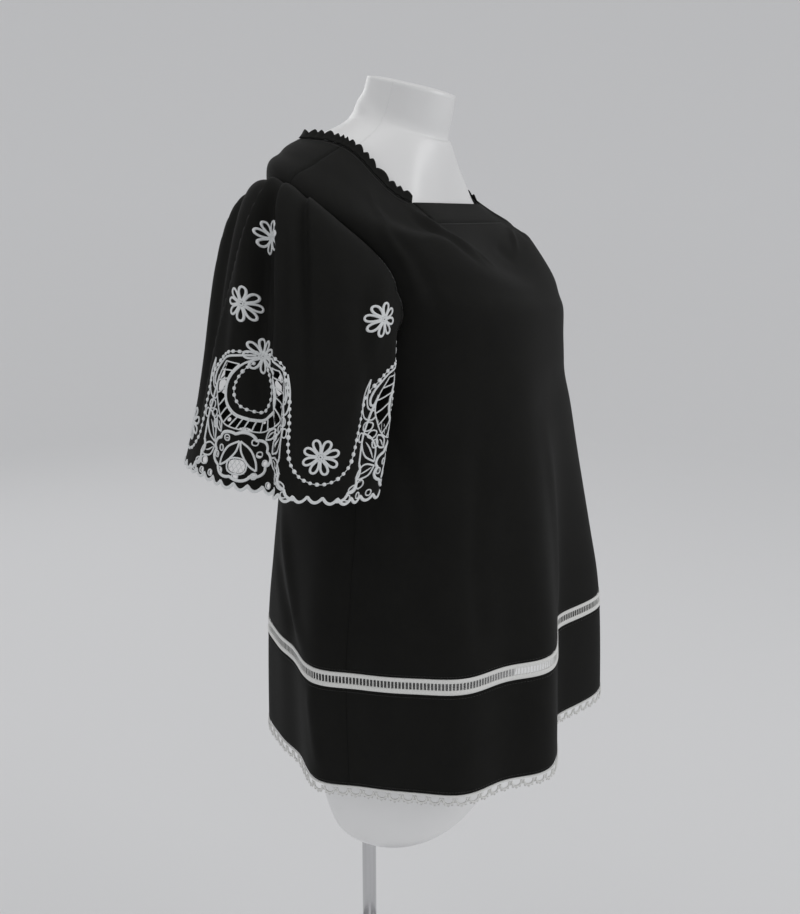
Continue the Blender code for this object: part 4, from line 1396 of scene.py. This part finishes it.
class BLOUSE_OT_trims(bpy.types.Operator):
    """Make the ladder insertion and the scalloped lace hem"""

    bl_idname = "blouse.trims"
    bl_label = "Ladder and lace"

    def execute(self, context):
        settings = context.scene.blouse
        white = finish("white_tape")
        span = TRIM_BOTTOM - TRIM_TOP
        upper = tape("ladder_tape_upper", TRIM_TOP + span * TAPE_INSET, *LADDER_TAPE)
        lower = tape("ladder_tape_lower", TRIM_BOTTOM - span * TAPE_INSET, *LADDER_TAPE)
        places = along_ring(TRIM_TOP + span / 2, settings.rung_pitch)
        rungs = repeat_on("ladder_rungs", places, rung_motif(white, RUNG_LENGTH, RUNG_RADIUS), white, 0.06)
        header = tape("lace_header", HEADER_RING, *LACE_HEADER)
        places = along_ring(HEM, settings.lace_pitch)
        places[0][:, 2] -= LACE_DROP
        loops = loop_motif(white, settings.lace_pitch, LACE_DEPTH)
        lace = repeat_on("lace_loops", places, loops, white, 0.03)
        finished(upper, "trim", "ladder_front")
        finished(lower, "trim", "ladder_back")
        finished(rungs, "trim")
        finished(header, "trim", "hem_lace_front")
        finished(lace, "trim", "hem_lace_back")
        return {"FINISHED"}


# The neck ruffle
def uneven(part, waves):
    return sum(size * np.sin(rate * part + start) for size, rate, start in waves)


def ruffle_rows():
    """The ruffle's outer side, from its foot to its edge, and its flat places."""
    part = np.linspace(0.0, 1.0, RUFFLE_WAVES * RUFFLE_POINTS + 1)
    end = NECK_CORNER + RUFFLE_END
    angle = end + (360.0 - 2 * end) * part
    phase = 2 * pi * (RUFFLE_WAVES * part + uneven(part, RUFFLE_DRIFT))
    lump = np.abs(np.sin(phase / 2)) ** 0.6
    tall = RUFFLE_HEIGHT * (0.56 + 0.46 * lump + uneven(part, RUFFLE_TALLNESS))
    normal = normals(blouse, angle, np.full_like(angle, 2 * FIRST_RING), -1.0, SURFACE_SPAN)
    base = blouse(angle, FIRST_RING)
    up = unit(blouse(angle, 0.0) - blouse(angle, 0.1))
    ahead = unit(np.gradient(base, axis=0))
    outer, flat = [], []
    for rise in np.linspace(0.0, 1.0, RUFFLE_ROWS):
        lift = RUFFLE_OUT + RUFFLE_SWING * ((0.15 + 0.85 * rise) * lump + rise**1.5)
        lean = RUFFLE_LEAN * rise * np.sin(phase + 0.4)
        height = tall * rise - RUFFLE_FOOT * (1 - rise)
        outer.append(base + normal * lift[:, None] + up * height[:, None] + ahead * lean[:, None])
        flat.append(np.stack([part * 0.9, np.full_like(part, rise * RUFFLE_HEIGHT)], axis=-1))
    return np.array(outer), np.array(flat), normal


class BLOUSE_OT_ruffle(bpy.types.Operator):
    """Make the gathered frill round the sides and back of the neck"""

    bl_idname = "blouse.ruffle"
    bl_label = "Neck ruffle"

    def execute(self, context):
        outer, flat, normal = ruffle_rows()
        outward = unit(np.cross(np.gradient(outer, axis=0), np.gradient(outer, axis=1)))
        if (outward * normal).sum() < 0:
            outward = -outward
        inner = outer - outward * RUFFLE_THICKNESS
        rings = np.concatenate([outer, inner[::-1]]).transpose(1, 0, 2)
        flats = np.concatenate([flat, flat[::-1]]).transpose(1, 0, 2)
        ruffle = grid_object("ruffle", rings, finish("black_cotton"), flats)
        finished(ruffle, "cloth", "neck_ruffle")
        return {"FINISHED"}


# The sleeves and their embroidery
def scalloped_edge(along, pitch):
    phase = (along / pitch) % 1.0
    return SCALLOP_RISE * MM * (2 * phase - 1) ** 2


def oval(x, y, half_width, half_height, lean=0.0, points=14):
    """A rounded closed outline, a little squarer than an ellipse."""
    across = half_width * signed_power(np.cos(circle(points)), 0.8)
    down = half_height * signed_power(np.sin(circle(points)), 0.8)
    return leaning(x, y, across, down, radians(lean))


def leaning(x, y, out, aside, way):
    """Flat points from two lengths, one along a direction and one to its left."""
    return np.stack([
        x + out * cos(way) - aside * sin(way), y + out * sin(way) + aside * cos(way),
    ], axis=1)


def daisy(x, y, radius, lean):
    """Eight looped petals round a small knot."""
    turn = circle(22)
    out = radius * (0.55 - 0.38 * np.cos(turn))
    aside = radius * 0.165 * np.sin(turn) * (1 - 0.45 * np.cos(turn))
    strokes = [
        Stroke(leaning(x, y, out, aside, radians(lean + 45 * petal)), *PETAL_CORD, closed=True)
        for petal in range(8)
    ]
    strokes.append(Stroke(oval(x, y, KNOT_RADIUS, KNOT_RADIUS), *KNOT_CORD, closed=True))
    return strokes


def leaf(base, tip, half_width, hand=1.0):
    """A pointed leaf: two curved sides and a vein."""
    base, tip = np.array(base, float), np.array(tip, float)
    way = tip - base
    aside = np.array([-way[1], way[0]]) / np.hypot(*way) * half_width * hand
    left = curved([base, base + way * 0.35 + aside, base + way * 0.75 + aside * 0.75, tip])
    right = curved([base, base + way * 0.30 - aside * 0.9, base + way * 0.72 - aside * 0.8, tip])
    vein = curved([base + way * 0.12, base + way * 0.45 + aside * 0.18, base + way * 0.68])
    sides = [Stroke(side, LEAF_WIDTH) for side in (left, right)]
    return [*sides, Stroke(vein, *VEIN_CORD, taper=True)]


def scalloped(path, pitch, depth, outward):
    """A path with bumps of a pitch on one side, pointed between them."""
    path = resampled(path, 0.8)
    run = run_along(path)
    ahead = unit(np.gradient(path, axis=0))
    aside = np.stack([ahead[:, 1], -ahead[:, 0]], axis=1) * outward
    count = round(run[-1] / pitch)
    return path + aside * (depth * np.abs(np.sin(pi * run / run[-1] * count)) ** 0.8)[:, None]


def lobe_edge(half):
    """The edge of the plain cloth lobe, from its upper end to the middle of its foot."""
    straight = [(-7, 101), (-2.6, 84), (0, 66), (0.6, 50), (1, 37)]
    straight = [(half - LOBE_HALF_WIDTH + x, y) for x, y in straight]
    foot = [(39, 37), (38.5, 27), (34.5, 17.5), (27, 9.5), (18, 4)]
    return curved(straight), curved([(half - x, y) for x, y in foot])


def flower():
    """The lobed flower: its outline, two pointed petals, and a bar round its mesh."""
    turn = circle(96)
    swell = 0.88 + 0.14 * np.abs(np.sin(4.5 * turn + pi / 4)) ** 0.7
    outline = np.stack([
        FLOWER_HALF_WIDTH * swell * np.sin(turn),
        FLOWER_UP + FLOWER_HALF_HEIGHT * swell * np.cos(turn),
    ], axis=1)
    strokes = [Stroke(outline, *FLOWER_CORD, closed=True)]
    for hand in (1, -1):
        petal = leaf((hand * 0.6, FLOWER_UP + 14), (hand * 19, FLOWER_UP - 12), 4.6, hand)
        strokes += [Stroke(stroke.path, DROP_WIDTH) for stroke in petal[:2]]
    rim = oval(0, MESH_UP, MESH_HALF_WIDTH + 1.2, MESH_HALF_HEIGHT + 1.2, 0, 24)
    strokes.append(Stroke(rim, *MESH_RIM_CORD, closed=True))
    for step in (-1, 0, 1):
        middle = step * MESH_HALF_WIDTH * 0.55
        for lean in (4, -4):
            bar = np.array([(middle - lean, MESH_UP - 6.2), (middle + lean, MESH_UP + 6.2)])
            strokes.append(Stroke(bar, *MESH_BAR))
    return strokes


def along_curve(curve, start, end, count=5):
    """A few points of a curve between two parts of its length."""
    run = run_along(curve)
    return at_runs(curve, run, np.linspace(start, end, count) * run[-1])


def net_cells():
    """The openings of the net on one side of the flower."""
    inner, outer = curved(NET_INNER, 16), curved(NET_OUTER, 16)
    cells = []
    for start, end in zip(NET_ENDS, NET_ENDS[1:]):
        near, far = (along_curve(curve, start, end) for curve in (inner, outer))
        middle = (near.mean(axis=0) + far.mean(axis=0)) / 2
        away = np.concatenate([near, far[::-1]]) - middle
        distance = np.linalg.norm(away, axis=1, keepdims=True)
        cells.append(middle + away * (1 - NET_BAR / 2 / distance))
    return cells


def net_cords():
    """The cords that edge the net, and the bars across it."""
    inner, outer = curved(NET_INNER, 16), curved(NET_OUTER, 16)
    strokes = [Stroke(curve, *RIM_CORD) for curve in (inner, outer)]
    for part in NET_ENDS[:-1]:
        ends = [along_curve(curve, part, part, 1)[0] for curve in (inner, outer)]
        strokes.append(Stroke(np.array([ends[0], (ends[0] + ends[1]) / 2, ends[1]]), NET_BAR, NET_BAR_HEIGHT))
    return strokes


def skewed(points):
    """Moves the upper part of the design towards its right, as the teardrop leans."""
    points = np.array(points, float)
    reach = np.clip(1 - (points[:, 0] / 62.0) ** 2, 0.0, 1.0)
    points[:, 0] += TEARDROP_OFFSET * smoothstep((points[:, 1] - 50.0) / 28.0) * reach
    return points


def eyelet_rim(x, y, radius):
    """The cord round a small round cut-out."""
    reach = radius + 0.6
    return Stroke(oval(x, y, reach, reach), *EYELET_CORD, closed=True)


def half_motifs(half):
    """The cords of half a repeat, on the side of the flower where along is positive."""
    straight, foot = lobe_edge(half)
    strokes = [
        Stroke(curved(TEARDROP), DROP_WIDTH),
        Stroke(curved(SCROLL), *SCROLL_CORD),
        Stroke(curved(CRESCENT_OUTER)),
        Stroke(curved(CRESCENT_INNER)),
        Stroke(straight, *LOBE_CORD),
        Stroke(scalloped(foot, 12.0, 2.8, 1.0), *FOOT_CORD),
        *net_cords(),
        *leaf((34, 38), (51, 66), 6.0),
        *leaf((24, 50), (37, 63), 4.2),
        *leaf((33, 34), (54, 24), 6.0, -1.0),
    ]
    for opening in OPENINGS:
        size = (opening.half_width + 0.7, opening.half_height + 0.7)
        rim = oval(opening.along, opening.up, *size, opening.lean)
        strokes.append(Stroke(rim, *RIM_CORD, closed=True))
    return strokes + [eyelet_rim(x, y, EYELET_RADIUS) for _, x, y in EYELETS]


def dotted_paths(half):
    """The two dotted lines of half a repeat, from the flower's side to the lobe's foot."""
    foot = [(37, 100), (34, 83), (32, 65), (30.5, 50), (27, 36), (17, 23.8), (6, 18.6), (0, 18)]
    wave = [(0, 133), (26, 127), (41, 118), *((half - x, y) for x, y in foot)]
    return [curved(wave), curved(DOTTED_DROP)]


def mirrored(strokes):
    return [stroke._replace(path=stroke.path * (-1, 1)) for stroke in strokes]


def moved(strokes, x):
    """Strokes in millimetres brought to metres, moved along by x metres."""
    return [
        stroke._replace(path=stroke.path * MM + (x, 0), width=stroke.width * MM, height=stroke.height * MM)
        for stroke in strokes
    ]


def repeat_loops():
    """The cut-outs of one repeat, in millimetres from the flower's middle line."""
    rows = [(0, MESH_UP, MESH_HALF_WIDTH, MESH_HALF_HEIGHT, 0), (0, BUD_UP, BUD_RADIUS, BUD_RADIUS, 0)]
    for opening in OPENINGS:
        for hand in (1, -1):
            rows.append((hand * opening.along, *opening[2:5], hand * opening.lean))
    for _, x, y in EYELETS:
        rows += [(hand * x, y, EYELET_RADIUS, EYELET_RADIUS, 0) for hand in (1, -1)]
    loops = [oval(*row) for row in rows]
    for cell in net_cells():
        loops += [cell, cell * (-1, 1)]
    return [skewed(loop) for loop in loops]


def repeat_strokes(half):
    """The cords of one repeat, with the daisies above its flower and beside it."""
    motifs = half_motifs(half)
    strokes = motifs + mirrored(motifs) + flower()
    strokes.append(eyelet_rim(0, BUD_UP, BUD_RADIUS))
    centre = np.array([(0, NET_INNER[-1][1]), (0, 62), (0, NET_OUTER[-1][1])], float)
    strokes.append(Stroke(centre, NET_BAR, NET_BAR_HEIGHT))
    strokes = [stroke._replace(path=skewed(stroke.path)) for stroke in strokes]
    strokes += daisy(TEARDROP_OFFSET, 130, DAISY_RADIUS, 10)
    return strokes + daisy(half, 43, DAISY_RADIUS, 22)


def between(path, ends):
    """Which points of a path lie between the two ends of the flat sleeve."""
    return (path[:, 0] > ends[0]) & (path[:, 0] < ends[1])


def trimmed(strokes, ends):
    """The strokes, less what lies beyond the ends of the flat sleeve."""
    kept = []
    for stroke in strokes:
        inner = between(stroke.path, ends)
        if inner.all():
            kept.append(stroke)
        elif inner.sum() > 3 and not stroke.closed:
            kept.append(stroke._replace(path=stroke.path[inner]))
    return kept


def sleeve_outline(pattern, edge):
    """The flat sleeve's outline, from its scalloped edge up round the cap and back."""
    low, high = edge[0, 0], edge[-1, 0]
    turns = pattern.turn(np.linspace(high, low, 150))
    cap = np.stack([pattern.along_of(turns), pattern.cap(turns)], axis=1)
    rise = np.linspace(0.0, 1.0, 50)[1:-1]
    right, left = upright(high, rise * cap[0, 1]), upright(low, rise[::-1] * cap[-1, 1])
    return np.concatenate([edge, right, cap, left])


class SleeveDesign:
    """What lies on the flat sleeve: its cloth's loops, its cords and its dotted lines."""

    def __init__(self, pattern):
        low, high = pattern.along[0], pattern.along[-1]
        repeat = pattern.girth / REPEATS
        half = repeat / 2 / MM
        sides = (low + SLEEVE_SEAM_GAP, high - SLEEVE_SEAM_GAP)
        self.ends = (sides[0] + SLEEVE_SEAM_MARGIN, sides[1] - SLEEVE_SEAM_MARGIN)
        loops, cords = repeat_loops(), repeat_strokes(half)
        holes, strokes, self.dots = [], [], []
        for index in range(-2, 3):
            middle = repeat * index
            if not low - repeat / 2 < middle < high + repeat / 2:
                continue
            holes += [loop * MM + (middle, 0) for loop in loops]
            strokes += moved(cords, middle)
            for path in dotted_paths(half):
                self.dots += [skewed(path * (hand, 1)) * MM + (middle, 0) for hand in (1, -1)]
        for turn, up in DAISIES:
            x = float(pattern.along_of(turn))
            strokes += moved(daisy(0, up / MM, DAISY_RADIUS, 7 * turn), x)
        hem = np.linspace(*sides, SCALLOPS * 10 + 1)
        edge = np.stack([hem, scalloped_edge(hem, pattern.girth / SCALLOPS)], axis=1)
        strokes.append(Stroke(edge + (0, 1.2 * MM), 3.0 * MM, 1.2 * MM))
        self.strokes = trimmed(strokes, self.ends)
        holes = [loop for loop in holes if between(loop, self.ends).all()]
        self.loops = [sleeve_outline(pattern, edge), *holes]

    def dotted_lines(self):
        """The fine threads under the dots."""
        inner = [path for path in self.dots if between(path, self.ends).all()]
        return [Stroke(path, 0.8 * MM, 0.6 * MM) for path in inner]

    def dot_places(self, surface, outside):
        """Even places on the dotted lines, with their outward and onward directions."""
        placed = []
        for path in self.dots:
            even = resampled(path, DOT_PITCH)
            even = even[between(even, self.ends)]
            if len(even) > 2:
                placed.append(points_on(surface, outside, even))
        return [np.concatenate(rows) for rows in zip(*placed)]


class BLOUSE_OT_sleeves(bpy.types.Operator):
    """Make the two sleeves with their cutwork and embroidery"""

    bl_idname = "blouse.sleeves"
    bl_label = "Sleeves"

    def execute(self, context):
        pattern = SleevePattern()
        design = SleeveDesign(pattern)
        cloth, white = finish("black_cotton"), finish("white_thread")
        thickness = context.scene.blouse.cloth_thickness
        for name, side in (("left", 1), ("right", -1)):
            surface, outside = pattern.surface(side), -float(side)
            sheet = cloth_shell(
                f"sleeve_of_{name}", design.loops, SLEEVE_STEP, surface, outside, thickness, cloth
            )
            finished(sheet, "cloth", f"sleeve_{name}_front", f"sleeve_{name}_back")
            cords = raised(f"embroidery_{name}", design.strokes, surface, outside, white)
            places = design.dot_places(surface, outside)
            beads = repeat_on(f"dots_{name}", places, bead_motif(white, *DOT_SIZE), white, 0.12)
            lines = design.dotted_lines()
            line = raised(f"dotted_line_{name}", lines, surface, outside, white, 2.0 * MM)
            for piece in (cords, beads, line):
                finished(piece, "trim")
        return {"FINISHED"}


# The dress form and its stand
def form_ring(ring, slant=0.0):
    middle, half_depth = (ring.front + ring.back) / 2, (ring.back - ring.front) / 2
    power = 2 / FORM_SQUARE
    x = ring.half_width * signed_power(np.sin(circle(FORM_SIDES)), power)
    y = middle - half_depth * signed_power(np.cos(circle(FORM_SIDES)), power)
    return np.stack([x, y + NECK_Y, ring.z + slant * y + LEVEL], axis=-1)


def form_rings():
    """The form's rings from its neck down, those under the cloth moved in from it."""
    rings = [form_ring(ring, slant) for ring, slant in zip(FORM_NECK, NECK_SLANTS)]
    angles = np.linspace(0.0, 360.0, FORM_SIDES, endpoint=False)
    for place in FORM_STEPS:
        depth = FORM_DEPTH_BELOW_CLOTH if place else FORM_DEPTH_AT_NECK
        slope_at = np.full(FORM_SIDES, max(place, SURFACE_SPAN[1]))
        inward = normals(blouse, angles, slope_at, 1.0, SURFACE_SPAN)
        rings.append(blouse(angles, place) + inward * depth)
    last, bust = rings[-1], form_ring(FORM_BODY[0])
    rings += [last * (1 - part) + bust * part for part in (0.25, 0.5, 0.75)]
    return rings + [form_ring(ring) for ring in FORM_BODY]


def smooth_rows(rings, between):
    rings = np.array(rings)
    place = np.linspace(0.0, len(rings) - 1, (len(rings) - 1) * between + 1)
    flat = rings.reshape(len(rings), -1)
    rows = [spline(flat, np.full(flat.shape[1], where)) for where in place]
    return np.array(rows).reshape(len(place), -1, 3)


def with_caps(rows, top_rise, bottom_drop):
    """Rows closed towards their middles, with rounded rims."""
    caps = []
    for ring, rise in ((rows[0], top_rise), (rows[-1], -bottom_drop)):
        middle = ring.mean(axis=0)
        closing = []
        for size in (0.985, 0.94, 0.8, 0.5, 0.2, 0.02):
            lifted = middle + (ring - middle) * size
            lifted[:, 2] += rise * (1 - size**4)
            closing.append(lifted)
        caps.append(closing)
    return np.concatenate([caps[0][::-1], rows, caps[1]])


def turned_piece(name, profile, material, sides=72):
    return grid_object(name, round_rows(profile, sides), material)


def parting_line(name, line, middles, material):
    """A faint ridge down one side of the form."""
    across, aside = np.cos(circle(8)) * PARTING_RADIUS / 2, np.sin(circle(8)) * PARTING_RADIUS
    outward = unit((line - middles) * (1, 1, 0))
    tube = [
        point + np.outer(across, way) + np.outer(aside, np.cross(way, (0, 0, 1)))
        for point, way in zip(line, outward)
    ]
    return grid_object(name, np.array(tube), material)


def base_profile(radius, top):
    """The round base's section: a thin plate with a hub round the pole's bore."""
    thick, hub = BASE_THICKNESS, HUB_RADIUS
    return [
        (radius - 0.0008, 0.0), (radius, 0.0008), (radius, thick - 0.0016),
        (radius - 0.0005, thick - 0.0005), (radius - 0.0018, thick), (hub + 0.0030, thick),
        (hub + 0.0008, thick + 0.0008), (hub, thick + 0.0030), (hub, top - 0.0012),
        (hub - 0.0012, top), (HUB_BORE, top), (HUB_BORE, 0.003),
    ]


class BLOUSE_OT_form(bpy.types.Operator):
    """Make the dress form, its parting line, pole and base"""

    bl_idname = "blouse.form"
    bl_label = "Dress form and stand"

    def execute(self, context):
        plastic, steel = finish("moulded_plastic"), finish("chromed_steel")
        rows = with_caps(smooth_rows(form_rings(), 5), FORM_TOP_RISE, FORM_BOTTOM_DROP)
        finished(grid_object("form", rows, plastic), "form", "dress_form")
        side = rows[PARTING_ROWS]
        for name, index in (("right", FORM_SIDES * 3 // 4), ("left", FORM_SIDES // 4)):
            ridge = parting_line(f"parting_line_{name}", side[:, index], side.mean(axis=1), plastic)
            finished(ridge, "form")
        low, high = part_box("pole")
        radius, edge = (high.x - low.x) / 2, ROUNDED_EDGE
        profile = [
            (radius - edge, low.z), (radius, low.z + edge),
            (radius, high.z - edge), (radius - edge, high.z),
        ]
        finished(turned_piece("chrome_pole", profile, steel), "stand", "pole")
        low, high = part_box("base")
        profile = base_profile((high.x - low.x) / 2, high.z)
        finished(turned_piece("base_plate", profile, steel, 128), "stand", "base")
        return {"FINISHED"}


# The stage
class BLOUSE_OT_stage(bpy.types.Operator):
    """Make the pale backdrop, the soft lights and the camera"""

    bl_idname = "blouse.stage"
    bl_label = "Stage, lights and camera"

    def execute(self, context):
        scene = context.scene
        self.add_backdrop(scene.blouse.backdrop_colour)
        for light in LIGHTS:
            self.add_light(scene, *light)
        world = bpy.data.worlds.new("studio")
        world.use_nodes = True
        background = world.node_tree.nodes["Background"].inputs
        background["Color"].default_value = (1.0, 1.0, 1.0, 1.0)
        background["Strength"].default_value = WORLD_STRENGTH
        scene.world = world
        scene.view_settings.view_transform = "Standard"
        self.add_camera(scene)
        return {"FINISHED"}

    def add_backdrop(self, colour):
        """A round floor that curves up into a wall all round."""
        material, _ = new_material("backdrop", {
            "Roughness": 0.9,
            "Base Color": (*colour, 1.0),
            "Emission Color": (0.98, 0.99, 1.0, 1.0),
            "Emission Strength": 0.24,
        })
        flat_reach = BACKDROP_REACH - BACKDROP_BEND
        profile = [(radius, FLOOR_HEIGHT) for radius in (*FLOOR_RADII, flat_reach)]
        for angle in np.linspace(0.0, pi / 2, 13)[1:]:
            profile.append((flat_reach + BACKDROP_BEND * sin(angle), BACKDROP_BEND * (1 - cos(angle))))
        profile.append((BACKDROP_REACH, BACKDROP_TOP))
        rows = round_rows(profile, BACKDROP_SIDES)
        faces = [list(range(BACKDROP_SIDES)), *quads(len(rows), BACKDROP_SIDES)]
        made = new_object("backdrop", rows.reshape(-1, 3), faces, material)

    def add_light(self, scene, name, place, size, power):
        light = bpy.data.lights.new(name, "AREA")
        light.size = size
        light.energy = power
        made = bpy.data.objects.new(name, light)
        made.location = place
        aim = Vector(LIGHT_AIM) - Vector(place)
        made.rotation_euler = aim.to_track_quat("-Z", "Y").to_euler()
        scene.collection.objects.link(made)

    def add_camera(self, scene):
        azimuth, pitch = radians(CAMERA_AZIMUTH), radians(CAMERA_PITCH)
        place = Vector((
            sin(azimuth) * CAMERA_DISTANCE, NECK_Y - cos(azimuth) * CAMERA_DISTANCE, LEVEL,
        ))
        heading = azimuth + atan(CAMERA_SIDE_PIXELS / FOCAL_PIXELS)
        ahead = Vector((-sin(heading) * cos(pitch), cos(heading) * cos(pitch), -sin(pitch)))
        right = Vector((cos(heading), sin(heading), 0.0))
        above = right.cross(ahead)
        lens = bpy.data.cameras.new("camera")
        lens.sensor_fit = "VERTICAL"
        lens.sensor_height = SENSOR
        lens.lens = FOCAL_PIXELS * SENSOR / IMAGE_HEIGHT
        camera = bpy.data.objects.new("camera", lens)
        turn = Matrix((right, above, -ahead)).transposed()
        camera.matrix_world = Matrix.Translation(place) @ turn.to_4x4()
        scene.collection.objects.link(camera)
        scene.camera = camera
        scene.camera = camera


def colour_setting(name, description, default):
    return bpy.props.FloatVectorProperty(
        name=name, description=description, subtype="COLOR", default=default, min=0.0, max=1.0
    )


def length_setting(name, description, default, low, high):
    return bpy.props.FloatProperty(
        name=name, description=description, unit="LENGTH", default=default, min=low, max=high
    )


class BlouseSettings(bpy.types.PropertyGroup):
    cloth_colour: colour_setting("Cloth", "Colour of the cotton", (0.0074, 0.0074, 0.0066))
    thread_colour: colour_setting("Embroidery", "Colour of the thread", (0.80, 0.82, 0.83))
    tape_colour: colour_setting("Trims", "Colour of ladder and lace", (0.80, 0.80, 0.78))
    form_colour: colour_setting("Form", "Colour of the moulded form", (0.87, 0.87, 0.87))
    stand_colour: colour_setting("Stand", "Colour of the chromed stand", (0.62, 0.62, 0.63))
    backdrop_colour: colour_setting("Backdrop", "Colour of floor and wall", (0.50, 0.50, 0.51))
    cloth_thickness: length_setting("Cloth thickness", "Thickness of the shell", 0.001, 0.0003, 0.0015)
    rung_pitch: length_setting("Rung pitch", "Between the ladder's bars", 0.0037, 0.002, 0.02)
    lace_pitch: length_setting("Lace pitch", "Width of one lace scallop", 0.0142, 0.006, 0.04)


STEPS = ["panels", "trims", "ruffle", "sleeves", "form", "stage"]


class BLOUSE_PT_panel(bpy.types.Panel):
    bl_label = "Tunic blouse"
    bl_idname = "BLOUSE_PT_panel"
    bl_space_type = "VIEW_3D"
    bl_region_type = "UI"
    bl_category = "Blouse"

    def draw(self, context):
        for name in BlouseSettings.__annotations__:
            self.layout.prop(context.scene.blouse, name)
        for step in STEPS:
            self.layout.operator(f"blouse.{step}")


CLASSES = [
    BlouseSettings,
    BLOUSE_OT_panels,
    BLOUSE_OT_trims,
    BLOUSE_OT_ruffle,
    BLOUSE_OT_sleeves,
    BLOUSE_OT_form,
    BLOUSE_OT_stage,
    BLOUSE_PT_panel,
]


def register():
    for kind in CLASSES:
        bpy.utils.register_class(kind)
    bpy.types.Scene.blouse = bpy.props.PointerProperty(type=BlouseSettings)


def unregister():
    del bpy.types.Scene.blouse
    for kind in reversed(CLASSES):
        bpy.utils.unregister_class(kind)


def main():
    register()
    for step in STEPS:
        getattr(bpy.ops.blouse, step)()


if __name__ == "__main__":
    main()
